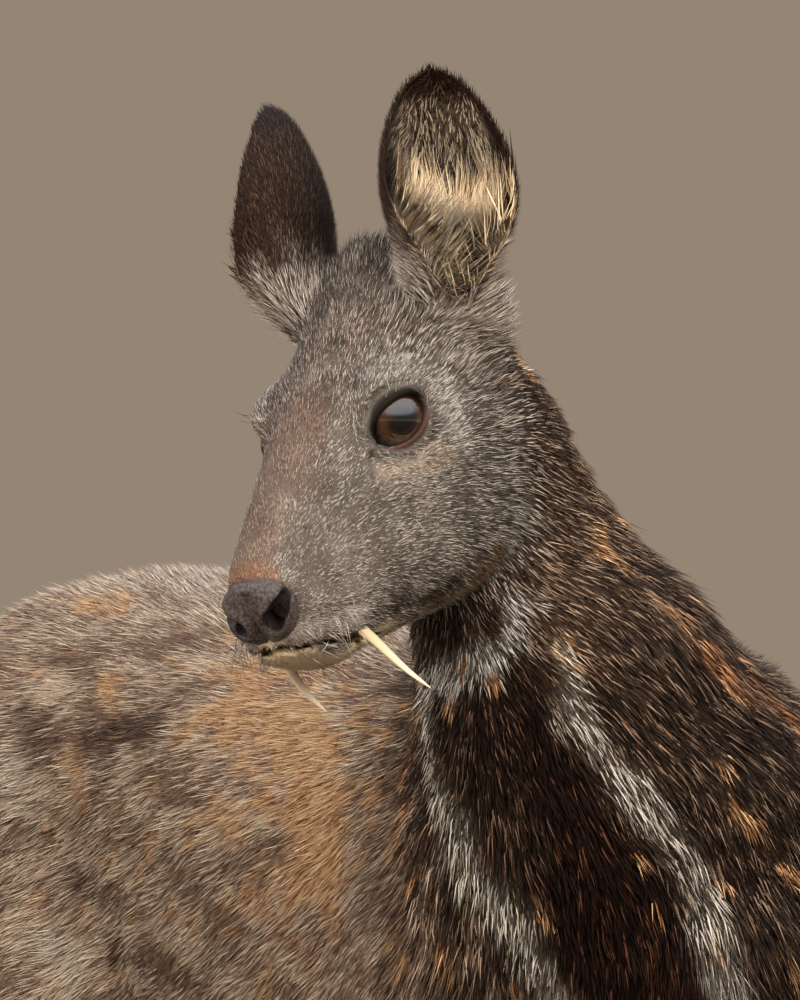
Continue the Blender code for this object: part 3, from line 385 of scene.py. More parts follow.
class Tone(Enum):
    """What the hair of a part of the coat is like: base, tips (screen colours) and share of pale tips."""

    TRUNK = ((114, 86, 70), (255, 230, 200), 0.44)
    BACK = ((132, 106, 90), (255, 236, 214), 0.5)
    BELLY = ((96, 72, 58), (220, 190, 160), 0.45)
    RUSSET = ((176, 124, 84), (255, 212, 158), 0.62)
    RUST = ((140, 82, 46), (232, 160, 98), 0.55)
    SPOT = ((60, 45, 38), (150, 120, 100), 0.2)
    CREAM = ((124, 100, 80), (250, 238, 216), 0.75)
    # painted shadow: the dark fold in front of the right thigh
    CREASE = ((30, 19, 14), (90, 60, 42), 0.2)
    NECK = ((40, 28, 21), (148, 120, 98), 0.22)
    UPPER_NECK = ((62, 46, 36), (190, 160, 134), 0.34)
    NAPE = ((62, 46, 36), (170, 142, 116), 0.42)
    STRIPE = ((84, 70, 58), (255, 250, 238), 0.75)
    BETWEEN = ((28, 16, 11), (104, 62, 40), 0.1)
    RUFF = ((84, 72, 62), (250, 246, 238), 0.68)
    LEG = ((58, 42, 33), (134, 110, 90), 0.35)
    SHIN = ((46, 33, 26), (112, 92, 76), 0.3)
    INNER_LEG = ((100, 84, 70), (196, 178, 158), 0.7)
    FACE = ((48, 37, 31), (244, 230, 216), 0.33)
    FOREHEAD = ((56, 43, 36), (232, 210, 194), 0.33)
    BROW = ((60, 48, 40), (255, 246, 234), 0.55)
    BRIDGE = ((88, 67, 56), (206, 178, 160), 0.38)
    ABOVE_NOSE = ((108, 74, 54), (212, 156, 116), 0.5)
    MUZZLE = ((60, 48, 41), (238, 222, 210), 0.38)
    PIT = ((44, 31, 27), (84, 66, 60), 0.2)
    UNDER_EYE = ((92, 74, 60), (244, 226, 204), 0.55)
    TEAR = ((36, 26, 22), (70, 56, 50), 0.2)
    LIP = ((36, 24, 18), (80, 58, 46), 0.2)
    WHITE_LIP = ((104, 88, 80), (240, 230, 220), 0.65)
    # the chin's own cream hair, with painted light: raised near white to make up for the shade under the jaw
    CHIN = ((240, 205, 158), (255, 240, 212), 0.95)
    # painted shadow where the cheek's lower edge overhangs the throat
    JAW_LINE = ((36, 23, 16), (92, 64, 44), 0.2)
    JAW_STREAK = ((98, 74, 46), (158, 128, 88), 0.6)
    CROWN = ((50, 38, 31), (226, 208, 190), 0.34)
    EAR_BACK = ((34, 20, 13), (112, 86, 68), 0.2)
    EAR_ROOT = ((84, 70, 60), (250, 236, 222), 0.5)
    EAR_INSIDE = ((58, 46, 37), (186, 168, 142), 0.5)
    EAR_PALE = ((212, 168, 122), (255, 232, 194), 0.92)
    EAR_EDGE = ((34, 21, 14), (84, 62, 48), 0.25)
    FOOT = ((40, 28, 22), (90, 70, 56), 0.25)
    WHISKER = ((120, 104, 92), (226, 214, 198), 0.75)


@dataclass(frozen=True)
class Mark:
    """A part of the coat with its own tone, round a line of places in the body's axes or the head's own.

    Attributes:
        tone: the hair there.
        path: one place or several, in centimetres.
        radius: how far from the line the tone reaches.
        both: the tone is on both sides.
        share: how strong it is.
        rough: how far its edge wanders, as a share of the radius.
    """

    tone: Tone
    path: tuple[Place, ...]
    radius: float
    both: bool = True
    share: float = 1.0
    rough: float = 0.35


def marks(rows: Sequence[Sequence], both: bool = True) -> tuple[Mark, ...]:
    """Marks on both sides or one, from rows of tone, path, radius and where they differ share and rough."""
    return tuple(Mark(tone, path, radius, both, *rest) for tone, path, radius, *rest in rows)


BODY_MARKS: tuple[Mark, ...] = marks((
    (Tone.BACK, ((-40, 0, 60), (-20, 0, 60.5), (-2, 0, 59)), 5.5),
    (Tone.BELLY, ((-30, 0, 34), (-4, 0, 33)), 5.5),
    (Tone.LEG, ((-1, 7, 34), (1, 6.5, 14)), 5.5),
    (Tone.LEG, ((-36, 7.2, 33), (-42, 7, 14)), 6),
    (Tone.INNER_LEG, ((-34, 3.2, 38), (-38, 4.6, 29)), 2.6),
    (Tone.SHIN, ((1.2, 6.5, 17), (1.2, 6.5, 4)), 3.2),
    (Tone.SHIN, ((-42.4, 7, 20), (-40, 7, 4)), 3.4),
    (Tone.FOOT, ((1.8, 6.5, 4.2), (2.5, 6.5, 1.5)), 2.2),
    (Tone.FOOT, ((-39.6, 7, 4.2), (-38.6, 7, 1.5)), 2.2),
)) + marks((
    (Tone.NECK, ((4, -11, 66), (4, -5, 56), (6, -2, 47), (8, 0, 42)), 11),
    (Tone.NAPE, ((0.5, -6.5, 67), (1, -1, 60), (1, 4, 54)), 4.2),
    (Tone.UPPER_NECK, ((1, -9.5, 65.5), (5, -8.5, 63), (8, -8, 61)), 4.6, 1, 0.6),
    (Tone.BETWEEN, ((7.5, -12, 54), (9.2, -9.4, 49), (10.6, -6.2, 43.5), (9.5, -3, 38)), 3.6),
    (Tone.NECK, ((5.5, -11.2, 54.5), (6.5, -10.6, 50)), 2.2, 0.6, 0.5),
    (Tone.RUFF, ((2.9, -11.5, 56.2), (5.5, -11.3, 56.4), (7.2, -10.6, 57.5), (7.8, -10.4, 59.1)), 0.9),
    (Tone.JAW_STREAK, ((3.2, -11.7, 57.2), (5.5, -11.6, 57.8)), 0.4),
    (Tone.STRIPE, ((2, -11, 55.5), (1.6, -10.9, 53.9), (2.26, -10.8, 51.9), (3.85, -10.7, 50.1),
                   (5, -10.4, 48.1), (6.3, -9.7, 46.5), (7, -9.05, 45), (7.6, -8.3, 43.5),
                   (8.6, -6.4, 40.5), (7.4, -4.6, 36.8)), 0.95, 0.85, 0.25),
    (Tone.STRIPE, ((8.7, -8.9, 57.5), (8.9, -8.85, 56.3), (9.1, -8.7, 55.2)), 0.6, 0.75),
    (Tone.STRIPE, ((9.1, -8.7, 55.2), (9.6, -7.9, 53.7), (10.3, -6.8, 52.2), (11, -6, 50.8),
                   (11.5, -4.9, 49.3), (11.7, -4, 47.8), (11.9, -3.7, 46.3), (12.2, -3.3, 44.3),
                   (11.6, -1.2, 40.2), (8.6, -0.6, 37)), 0.95, 0.75, 0.25),
    (Tone.STRIPE, ((8.8, -4.4, 59.7), (9.3, -3.4, 58.6), (9.4, -2.2, 57.5)), 0.32, 0.6),
    (Tone.RUST, ((9.4, -2.2, 57.5), (9.3, 0, 56.1), (9.2, 1.9, 54.6)), 0.8, 0.6),
), both=False) + marks((
    (Tone.RUSSET, ((-15.7, -8.4, 55), (-12.1, -8.8, 54.1), (-9.3, -9.4, 52.5), (-7.8, -9.8, 50.5),
                   (-7.7, -10.1, 48.5)), 2.1, 0.8, 0.9),
    (Tone.RUSSET, ((-15, -10.3, 50.3), (-13, -10.3, 49.8)), 0.9, 0.6, 0.6),
    (Tone.RUSSET, ((-32, -5.9, 59.1), (-29.1, -5.6, 59.1)), 0.9),
    (Tone.RUSSET, ((-25.7, -8.6, 55.9), (-24.2, -9.2, 54.7)), 0.85),
    (Tone.RUSSET, ((-27.2, -9.9, 52.6), (-25.4, -10.2, 51.2)), 0.8),
    (Tone.RUST, ((-1, -9.9, 53.2), (0.3, -10.7, 49.6)), 0.6, 0.8),
    (Tone.RUST, ((-12.3, -10.6, 47.1), (-10, -10.4, 45.8), (-7.7, -10.3, 44.5)), 0.7, 0.45),
    (Tone.SPOT, ((-24.4, -9.7, 53.3), (-21.3, -9.6, 53.9)), 1.2, 0.85, 0.6),
    (Tone.SPOT, ((-30.2, -9.6, 54.4), (-28.4, -10.2, 52.6)), 0.9, 0.7),
    (Tone.STRIPE, ((-25.5, -6.7, 58), (-23.4, -7.8, 56.8)), 0.34, 0.8, 0.6),
    (Tone.STRIPE, ((-28.5, -7.2, 57.8), (-26.5, -8.3, 56.4)), 0.34, 0.8, 0.6),
    (Tone.CREAM, ((-30.1, -10.7, 52.2), (-28.8, -10.7, 50.6)), 1.1, 0.85),
    (Tone.CREAM, ((-26.2, -11.1, 44.8), (-24.6, -10.6, 43.6)), 1.1, 0.85),
    # painted shadow in the fold in front of the right thigh
    (Tone.CREASE, ((-28.5, -11, 48.9), (-26, -10.5, 47.7), (-22.9, -10.5, 46.5), (-22.6, -10.2, 44)), 0.6),
))

HEAD_MARKS: tuple[Mark, ...] = marks((
    (Tone.FOREHEAD, ((-3.5, 0, 4.3), (1.5, 0, 2)), 2.4),
    (Tone.CROWN, ((-7.5, 0, 4), (-4.2, 0, 4.8)), 2.4),
    (Tone.EAR_ROOT, ((-6.2, 3.6, 3.2), (-7.2, 4.4, 1.2)), 1.8),
    (Tone.BRIDGE, ((2, 0, 1.2), (7.2, 0, -1.2)), 1.4, 0.8),
    (Tone.MUZZLE, ((6.8, 1.9, -3), (5.2, 2.3, -3.4)), 1.7, 0.75),
    (Tone.BROW, ((-0.6, 3.2, 1.9), (-1.6, 3.5, 1.9), (-2.9, 3.8, 0.5), (-2.7, 4.05, -0.6),
                   (-1.7, 4.2, -2)), 0.75, 0.75),
    (Tone.UNDER_EYE, ((1.8, 3.2, -1.2), (0.6, 3.8, -1.8), (-0.6, 4, -2)), 0.5, 0.75, 0.6),
    (Tone.TEAR, ((1.5, 2.85, -0.3), (1.8, 2.8, -0.5)), 0.14, 0.8, 0.15),
    (Tone.ABOVE_NOSE, ((8.1, 1.1, -2), (8.1, 0.3, -1.7)), 0.42, 0.6),
    (Tone.PIT, ((6, 2.4, -3.45),), 0.15, 0.6),
    (Tone.PIT, ((6.9, 2.25, -3.8),), 0.15, 0.6),
    (Tone.WHITE_LIP, ((8.3, 1.3, -4.5), (7, 2, -4.9), (5.6, 2.4, -5.4)), 0.42),
    # the chin's cream hair, lightened with painted light for its shaded underside
    (Tone.CHIN, ((8.6, 0.2, -5.6), (6.6, 0.8, -6.5), (4.2, 1.4, -7.5)), 0.95, 1, 0.15),
    (Tone.LIP, ((8.7, 0.3, -4.9), (7.5, 1.5, -5.35), (5.7, 2.2, -6.25), (4.2, 2.4, -6.75)), 0.26, 1, 0.15),
    # painted shadow along the cheek's lower edge, over the throat
    (Tone.JAW_LINE, ((3.6, 2.6, -6.6), (1, 3.2, -6.7)), 0.45, 0.7),
    (Tone.JAW_STREAK, ((3.4, 2.2, -7.3), (0.8, 2.8, -7.6), (-1.8, 3.3, -7)), 0.6),
    (Tone.RUFF, ((1.8, 1.2, -8.3), (-0.6, 1.8, -8.9), (-2.8, 2.8, -8.4), (-4, 3.6, -6.8)), 1),
))


@dataclass(frozen=True)
class Guide:
    """How the coat lies round a place: the way hair points, its length, width, lift and how far it covers.

    Attributes:
        place: centimetres, in the head's own axes or the body's.
        flow: the way the hair points.
        length: length of a tuft in centimetres.
        width: width of a tuft in centimetres.
        lift: angle off the skin in degrees.
        cover: how many layers of tufts lie over each other.
    """

    place: Place
    flow: Place
    length: float
    width: float
    lift: float
    cover: float


def guides(cover: float, rows: Sequence[Sequence], width: float = 0.0) -> tuple[Guide, ...]:
    """Guides that share their cover, and their width where one is given.

    Args:
        cover: layers of tufts.
        rows: place, flow, length and lift of each guide, and its own width where they differ.
        width: width of a tuft in centimetres.

    Returns:
        The guides.
    """
    return tuple(Guide(place, flow, length, own[0] if own else width, lift, cover)
                 for place, flow, length, lift, *own in rows)


HEAD_GUIDES: tuple[Guide, ...] = guides(1.15, (
    ((8.2, 0.7, -1.6), (-1, 0.15, 0.6), 0.18, 24, 0.034),
    ((7.3, 1.7, -3.3), (-1, 0.5, 0.1), 0.19, 22, 0.034),
    ((7.6, 1.4, -4.9), (-0.8, 0.4, -0.7), 0.28, 28, 0.034),
    ((7, 0.4, -6.7), (-1, 0.1, -0.4), 0.26, 18, 0.034),
    ((5.4, 2, -1.6), (-1, 0.3, 0.35), 0.23, 20, 0.037),
    ((5.4, 2.3, -4), (-1, 0.35, -0.1), 0.23, 22, 0.037),
    ((5.2, 2.2, -6), (-0.9, 0.2, -0.6), 0.32, 24, 0.037),
    ((4, 0.2, 0.5), (-1, 0.1, 0.4), 0.23, 18, 0.037),
    ((2.6, 2.4, -0.6), (-1, 0.3, 0.1), 0.25, 20, 0.037),
    ((2.4, 2.9, -3.6), (-1, 0.3, -0.25), 0.26, 22, 0.037),
    ((2.4, 2.7, -6.2), (-0.9, 0.1, -0.6), 0.37, 22, 0.041),
    ((3, 0.6, -7.6), (-1, 0.1, -0.3), 0.4, 18, 0.041),
    ((0.2, 0.3, 2.6), (-1, 0.05, 0.35), 0.3, 18, 0.041),
    ((-0.4, 3.2, 1.9), (-1, 0.2, 0.5), 0.28, 24, 0.037),
    ((0.4, 3.5, -2.2), (-0.9, 0.4, -0.5), 0.26, 22, 0.037),
    ((-2.4, 4, -0.2), (-1, 0.3, -0.1), 0.32, 24, 0.041),
    ((-0.6, 3.9, -4.4), (-1, 0.1, -0.5), 0.37, 24, 0.044),
    ((-1.2, 3.4, -7), (-0.8, 0, -0.9), 0.66, 26, 0.048),
    ((-0.6, 0.9, -8.6), (-0.7, 0.1, -0.9), 0.84, 24, 0.051),
    ((-3.6, 1, 4.6), (-1, 0.15, 0.4), 0.37, 16, 0.041),
    ((-4.2, 3.9, -3.6), (-1, 0, -0.6), 0.62, 24, 0.048),
    ((-4, 3.9, 1), (-0.9, 0.2, 0.2), 0.44, 24, 0.044),
    ((-5.2, 3.3, 3.4), (-0.7, 0.3, 0.8), 0.88, 20, 0.048),
    ((-7.2, 4.4, 1.4), (-0.8, 0.4, 0.2), 0.97, 24, 0.051),
    ((-7.4, 1, 5.2), (-1, 0.1, 0.2), 0.66, 20, 0.048),
    ((-8, 1.6, 1.6), (-0.7, 0.1, -0.8), 0.79, 26, 0.054),
    ((-4.6, 2.8, -7.2), (-0.7, -0.1, -1), 0.97, 26, 0.054),
))

NECK_GUIDES: tuple[Guide, ...] = guides(1.9, (
    ((1, -13, 60), (0, 0.3, -1), 1.48, 22),
    ((7.6, -12, 58.5), (0.15, 0.35, -1), 1.37, 20),
    ((8, -7.5, 63), (0, 0.5, -1), 1.25, 20),
    ((0.4, -6.8, 66), (-0.2, 0.7, -0.8), 1.37, 24),
    ((4, -5.5, 66), (0, 0.7, -0.8), 1.25, 24),
    ((-0.4, -8.5, 57), (-0.2, 0.3, -1), 1.6, 22),
    ((9.4, -9, 52), (0.3, 0.35, -1), 1.71, 20),
    ((9.2, -3, 57.5), (0.1, 0.5, -1), 1.6, 18),
    ((4.6, -0.6, 61), (-0.4, 0.6, -0.8), 1.6, 22),
    ((9.4, 4, 51), (-0.3, 0.3, -1), 1.71, 18),
    ((12.4, -4, 45.5), (0.1, 0.3, -1), 1.82, 20),
    ((3.4, -10.6, 48), (0.1, 0.1, -1), 1.71, 20),
), 0.07)

BODY_GUIDES: tuple[Guide, ...] = guides(1.18, (
    ((10, 3, 41), (-0.3, 0, -1), 0.97, 20),
    ((6, 0, 36), (-1, 0, -0.5), 0.91, 20),
    ((-2, 0, 59.4), (-1, 0, -0.1), 0.91, 18),
    ((-2, 7, 55), (-1, 0.1, -0.5), 0.91, 16),
    ((-3, 9.8, 47), (-0.8, 0, -0.9), 0.97, 16),
    ((-2.5, 10, 40), (-0.5, 0, -1), 0.85, 16),
    ((-14, 0, 59.4), (-1, 0, -0.05), 0.91, 18),
    ((-14, 8, 54.5), (-1, 0, -0.3), 0.97, 16),
    ((-13, 10.6, 46), (-1, 0, -0.75), 1.03, 16),
    ((-13, 7, 37), (-1, 0, -0.5), 0.97, 18),
    ((-14, 0, 34.4), (-1, 0, -0.15), 0.91, 18),
    ((-26, 0, 60.8), (-1, 0, -0.05), 0.97, 18),
    ((-25, 8.5, 55.5), (-1, 0, -0.25), 0.97, 16),
    ((-24, 10.4, 47), (-1, 0, -0.6), 1.03, 16),
    ((-24, 6, 37), (-1, 0, -0.3), 0.97, 18),
    ((-36, 0, 60.6), (-1, 0, -0.2), 1.03, 18),
    ((-36, 8.5, 54), (-1, 0, -0.6), 0.97, 16),
    ((-34, 10.6, 46), (-0.8, 0, -0.8), 0.91, 16),
    ((-28.5, 9.4, 40), (-0.7, 0, -0.9), 0.79, 16),
    ((-43.5, 3, 57), (-0.8, 0, -0.8), 1.03, 20),
    ((-46, 2, 50), (-0.2, 0, -1), 1.1, 22),
    ((-43, 6.5, 44), (0, 0, -1), 0.97, 20),
    ((-35, 10, 36), (-0.6, 0, -0.9), 0.67, 14),
), 0.06) + guides(0.85, (
    ((-34, 4, 34), (-0.6, 0, -0.9), 0.9, 16),
    ((-39, 7.4, 29), (-0.5, 0, -0.9), 0.8, 16),
    ((-43, 7.1, 22), (0, 0, -1), 0.7, 16),
    ((-42, 7, 14), (0.1, 0, -1), 0.6, 14),
    ((-40.6, 7, 6), (0.3, 0, -1), 0.55, 16),
    ((-38.8, 7, 3), (0.5, 0, -1), 0.45, 16),
    ((-1, 9, 34), (-0.2, 0, -1), 0.9, 16),
    ((0, 7, 27), (0, 0, -1), 0.7, 16),
    ((1.2, 6.5, 18), (0, 0, -1), 0.6, 14),
    ((0.9, 6.5, 10), (0, 0, -1), 0.55, 14),
    ((1.6, 6.5, 5), (0.3, 0, -1), 0.5, 16),
    ((2.6, 6.5, 2.6), (0.5, 0, -1), 0.42, 16),
), 0.11)


def guide_table(head: Head) -> tuple[Array, Array, Array]:
    """Every guide on both sides of the animal, in the body's axes.

    Args:
        head: the head, whose own axes its guides are given in.

    Returns:
        Places; rows of flow, length, width, lift and cover; and the square of the reach of each guide.
    """
    places, rows, reach = [], [], []
    for group, on_head, both in ((HEAD_GUIDES, True, True), (NECK_GUIDES, False, False),
                                 (BODY_GUIDES, False, True)):
        for guide in group:
            for side in (1, -1) if both else (1,):
                place = np.array(guide.place) * (1, side, 1)
                flow = unit(np.array(guide.flow, float)) * (1, side, 1)
                places.append(head.to_body(place) if on_head else place)
                flow = head.axes @ flow if on_head else flow
                rows.append([*flow, guide.length, guide.width, guide.lift, guide.cover])
                reach.append(HEAD_REACH if on_head else BODY_REACH)
    return np.array(places), np.array(rows), np.array(reach)


@dataclass(frozen=True)
class Depths:
    """How far the skin lies under the coat's outer form, in centimetres.

    Attributes:
        trunk: on the trunk and neck.
        leg: on the legs.
        foot: how much less it is at the feet.
        face: at the nose's end of the face.
        nape: what the face gains by the back of the head.
        throat: what it gains under the jaw.
        pad: what it gains under the bare nose, so that the skin stays inside the pad.
        lids: what it gains inside the lids, so that the skin stays clear of the eyeball.
    """

    trunk: float = 0.62
    leg: float = 0.26
    foot: float = 0.14
    face: float = 0.08
    nape: float = 0.4
    throat: float = 0.15
    pad: float = 0.7
    lids: float = 0.5


class Animal:
    """The whole form: distances, coat depth, coat colours and the lie of the hair at any place."""

    depths = Depths()

    def __init__(self, head: Head, body: Body, shift: Array) -> None:
        """Keeps the forms.

        Args:
            head: the head.
            body: trunk, neck and legs.
            shift: metres from the animal's axes to the frame's.
        """
        self.head, self.body, self.shift = head, body, shift
        self.guides = guide_table(head)
        self.ragged, self.rows, self.swirl = Waves(1.0, 1), Waves(1.3, 2), Waves(1.6, 3)
        self.clump = Waves(0.55, 4)

    def parts(self, p: Array) -> tuple[Array, Array]:
        """Distances to the body and to the head, which is far where only the body can be."""
        body, head = self.body.solid(p), np.full(len(p), 60.0)
        near = (p[:, 2] > 52) & (p[:, 1] < -2)
        head[near] = self.head.solid(self.head.to_own(p[near]))
        return body, head

    def skin(self, p: Array) -> Array:
        """Distance to the skin: the coated form's plus the coat's depth, less the groove of the mouth."""
        body, head = self.parts(p)
        deep = self.depths
        on_head = smooth(-1.2, 1.8, body - head)
        leg = smooth(38, 22, p[:, 2])
        depth = deep.trunk * (1 - leg) + deep.leg * leg - deep.foot * smooth(12, 3, p[:, 2])
        made = blend(body, head, 1.6)
        near = head < 4
        q = self.head.to_own(p[near])
        face = (deep.face + deep.nape * smooth(2.5, -8.5, q[:, 0])
                + deep.throat * smooth(-6.0, -9.0, q[:, 2]) * smooth(4, 0, q[:, 0]))
        face *= 0.2 + 0.8 * smooth(1.4, 2.4, self.head.from_eye(q))
        depth[near] += (face - depth[near]) * on_head[near]
        depth[near] += (deep.pad * smooth(0.05, -0.3, pad_edge(mirrored(q)))
                        + deep.lids * smooth(0.0, -0.14, self.head.from_lids(q)))
        made = made + depth
        groove = np.maximum(self.head.lips(q) - 0.07, -(made[near] + 0.3)) + 0.3 * (q[:, 0] < 3.2)
        made[near] = carve(made[near], groove, 0.12)
        return made

    def lie(self, p: Array) -> Array:
        """Rows of flow, length, width, lift and cover: the guides' own, weighted by 1 / (d^2 + r^2)^2.

        Args:
            p: places in the body's axes.

        Returns:
            One row for each place.
        """
        places, rows, reach = self.guides
        made = np.empty((len(p), rows.shape[1]))
        for start in range(0, len(p), 20 * CHUNK):
            part = p[start:start + 20 * CHUNK]
            square = ((part[:, None, :] - places) ** 2).sum(2)
            weight = 1 / (square + reach) ** 2
            made[start:start + 20 * CHUNK] = weight @ rows / weight.sum(1, keepdims=True)
        return made

    def tones(self, p: Array) -> Array:
        """Rows of base colour, tip colour and share of pale tips, in linear light.

        Each mark is laid over the ones before it. Its weight is a smooth step of the distance to its line,
        which wanders with the ragged field.

        Args:
            p: places in the body's axes.

        Returns:
            Seven numbers for each place.
        """
        q = self.head.to_own(p)
        body, head = self.parts(p)
        on_head = smooth(-2.2, 1.0, body - head)[:, None]
        wander = self.ragged(p)
        made = np.tile(tone_row(Tone.TRUNK), (len(p), 1))
        band = self.rows(p * (0.55, 1.0, 1.0))
        made[:, 6] += 0.3 * band
        made = self.laid(made, BODY_MARKS, p, wander)
        face = np.tile(tone_row(Tone.FACE), (len(p), 1))
        face = self.laid(face, HEAD_MARKS, q, wander * 0.6)
        made += (face - made) * on_head
        made[:, 6] = np.clip(made[:, 6] + 0.1 * wander, 0.02, 1)
        made[:, :3] *= 1 + 0.14 * self.clump(p)[:, None]
        return made

    @staticmethod
    def laid(made: Array, marks: Sequence[Mark], p: Array, wander: Array) -> Array:
        """The tones with marks laid over them."""
        near = mirrored(p)
        for mark in marks:
            path = [(x, abs(y), z) if mark.both else (x, y, z) for x, y, z in mark.path]
            far = from_line(near if mark.both else p, path) * (1 + mark.rough * wander)
            weight = smooth(1.3 * mark.radius, 0.6 * mark.radius, far)[:, None] * mark.share
            made = made + (tone_row(mark.tone) - made) * weight
        return made


def tone_row(tone: Tone) -> Array:
    """A tone's seven numbers: base and tips in linear light, and the share of pale tips."""
    base, tips, share = tone.value
    return np.concatenate([linear(base), linear(tips), [share]])


def graded(low: float, high: float, coarse: float, span: tuple[float, float, float]) -> Array:
    """Grid places from low to high: a fine step inside the span, growing by 0.12 of the way from it.

    Args:
        low: first place.
        high: place to pass.
        coarse: largest step.
        span: start, end and step of the fine stretch.

    Returns:
        Rising places.
    """
    places, (start, end, fine) = [low], span
    while places[-1] < high:
        here = places[-1]
        places.append(here + min(coarse, fine + 0.12 * max(start - here, here - end, 0)))
    return np.array(places)


def banded(distance: Distance, grid: Sequence[Array], block: int = 4) -> Array:
    """A form's distances on a grid, worked out in full only in blocks that its surface may cross.

    A block is left at its nearest corner's value where all its corners are further from the surface than its
    diagonal is long.

    Args:
        distance: the form.
        grid: places along x, y and z.
        block: cells along a block's side.

    Returns:
        Values on the grid.
    """
    picks = [np.unique(np.r_[np.arange(0, len(a), block), len(a) - 1]) for a in grid]
    corner = np.stack(np.meshgrid(*[a[k] for a, k in zip(grid, picks)], indexing="ij"), -1)
    rough = distance(corner.reshape(-1, 3)).reshape(corner.shape[:3])
    size = sum(np.meshgrid(*[np.diff(a[k]) ** 2 for a, k in zip(grid, picks)], indexing="ij")) ** 0.5
    near = np.full(size.shape, np.inf)
    for i in (0, 1):
        for j in (0, 1):
            for k in (0, 1):
                part = rough[i:i + size.shape[0], j:j + size.shape[1], k:k + size.shape[2]]
                near = np.minimum(near, np.abs(part))
    live = near < size * 1.15
    values = rough[np.ix_(*[np.rint(np.arange(len(a)) / block).astype(int).clip(0, len(k) - 1)
                            for a, k in zip(grid, picks)])].astype(np.float32)
    wanted = np.zeros(values.shape, bool)
    for shift in np.ndindex(2, 2, 2):
        wanted |= live[np.ix_(*[((np.arange(len(a)) - s) // block).clip(0, n - 1)
                                for a, s, n in zip(grid, shift, live.shape)])]
    index = np.argwhere(wanted)
    for start in range(0, len(index), 200000):
        part = index[start:start + 200000]
        places = np.column_stack([a[part[:, k]] for k, a in enumerate(grid)])
        values[tuple(part.T)] = distance(places)
    return values


def surface_net(values: Array, grid: Sequence[Array]) -> tuple[Array, Array]:
    """The zero surface of values on a grid: means of cells' edge crossings, joined round each crossed edge.

    Args:
        values: distances, less than nought inside.
        grid: places along x, y and z.

    Returns:
        Places and quads, facing outwards.
    """
    inside = values < 0
    corners = list(np.ndindex(2, 2, 2))
    cut = tuple(s - 1 for s in values.shape)
    full = sum(inside[a:a + cut[0], b:b + cut[1], c:c + cut[2]].astype(np.int8) for a, b, c in corners)
    cells = np.argwhere((full > 0) & (full < 8))
    number = np.full(cut, -1, np.int64)
    number[tuple(cells.T)] = np.arange(len(cells))
    places, crossings = np.zeros((len(cells), 3)), np.zeros(len(cells))
    for axis in range(3):
        for corner in corners:
            if corner[axis]:
                continue
            start = cells + np.array(corner)
            stop = start.copy()
            stop[:, axis] += 1
            v0, v1 = values[tuple(start.T)], values[tuple(stop.T)]
            crossed = (v0 < 0) != (v1 < 0)
            t = np.where(crossed, v0 / np.where(crossed, v0 - v1, 1), 0)
            for k in range(3):
                a, b = grid[k][start[:, k]], grid[k][stop[:, k]]
                places[:, k] += np.where(crossed, a + t * (b - a), 0)
            crossings += crossed
    places /= crossings[:, None]
    faces = []
    for axis in range(3):
        u, v = (axis + 1) % 3, (axis + 2) % 3
        low = [slice(1, -1)] * 3
        low[axis] = slice(0, -1)
        high = list(low)
        high[axis] = slice(1, None)
        first, second = inside[tuple(low)], inside[tuple(high)]
        edges = np.argwhere(first != second)
        out = first[tuple(edges.T)]
        edges[:, [u, v]] += 1
        ring = []
        for du, dv in ((-1, -1), (0, -1), (0, 0), (-1, 0)):
            cell = edges.copy()
            cell[:, u] += du
            cell[:, v] += dv
            ring.append(number[tuple(cell.T)])
        ring = np.stack(ring, 1)
        faces.append(np.where(out[:, None], ring, ring[:, ::-1]))
    return places, np.concatenate(faces)


def settled(distance: Distance, places: Array, furthest: float = 0.08) -> tuple[Array, Array]:
    """Places moved to the zero surface along the form's slope, twice, and the slope there as unit normals."""
    slope = np.zeros_like(places)
    for _ in range(2):
        value = distance(places)
        reach = 0.05
        slope = np.stack([(distance(places + d) - distance(places - d)) / (2 * reach)
                          for d in np.eye(3) * reach], 1)
        step = np.clip(value / np.maximum((slope**2).sum(1), 0.3), -furthest, furthest)
        places = places - slope * step[:, None]
    return places, unit(slope)


def grid_faces(rows: int, columns: int, closed: bool = True) -> Array:
    """Quads of a grid of rows by columns, whose last column joins the first where it is closed."""
    i, j = np.meshgrid(np.arange(rows - 1), np.arange(columns if closed else columns - 1), indexing="ij")
    j2 = (j + 1) % columns
    here, above = i * columns, (i + 1) * columns
    return np.stack([here + j, here + j2, above + j2, above + j], -1).reshape(-1, 4)


def halves(quads: Array) -> Array:
    """Quads as triangles, two for each."""
    return np.concatenate([quads[:, [0, 1, 2]], quads[:, [0, 2, 3]]])


def in_scene(name: str, data: bpy.types.ID) -> Thing:
    """An object for a mesh, lamp or camera, linked to the scene."""
    made = bpy.data.objects.new(name, data)
    bpy.context.scene.collection.objects.link(made)
    return made


def add_piece(name: str, places: Array, faces: Array, shift: Array) -> Thing:
    """A smooth-shaded mesh object at the origin.

    Args:
        name: its name.
        places: centimetres, in the animal's axes.
        faces: corners of each face, all with the same number of sides.
        shift: metres from the animal's axes to the frame's.

    Returns:
        The object, linked to the scene.
    """
    mesh = bpy.data.meshes.new(name)
    mesh.vertices.add(len(places))
    mesh.vertices.foreach_set("co", (places * CM + shift).astype(np.float32).ravel())
    mesh.loops.add(faces.size)
    mesh.loops.foreach_set("vertex_index", faces.astype(np.int32).ravel())
    mesh.polygons.add(len(faces))
    mesh.polygons.foreach_set("loop_start", np.arange(len(faces), dtype=np.int32) * faces.shape[1])
    mesh.polygons.foreach_set("use_smooth", np.ones(len(faces), bool))
    mesh.update(calc_edges=True)
    return in_scene(name, mesh)


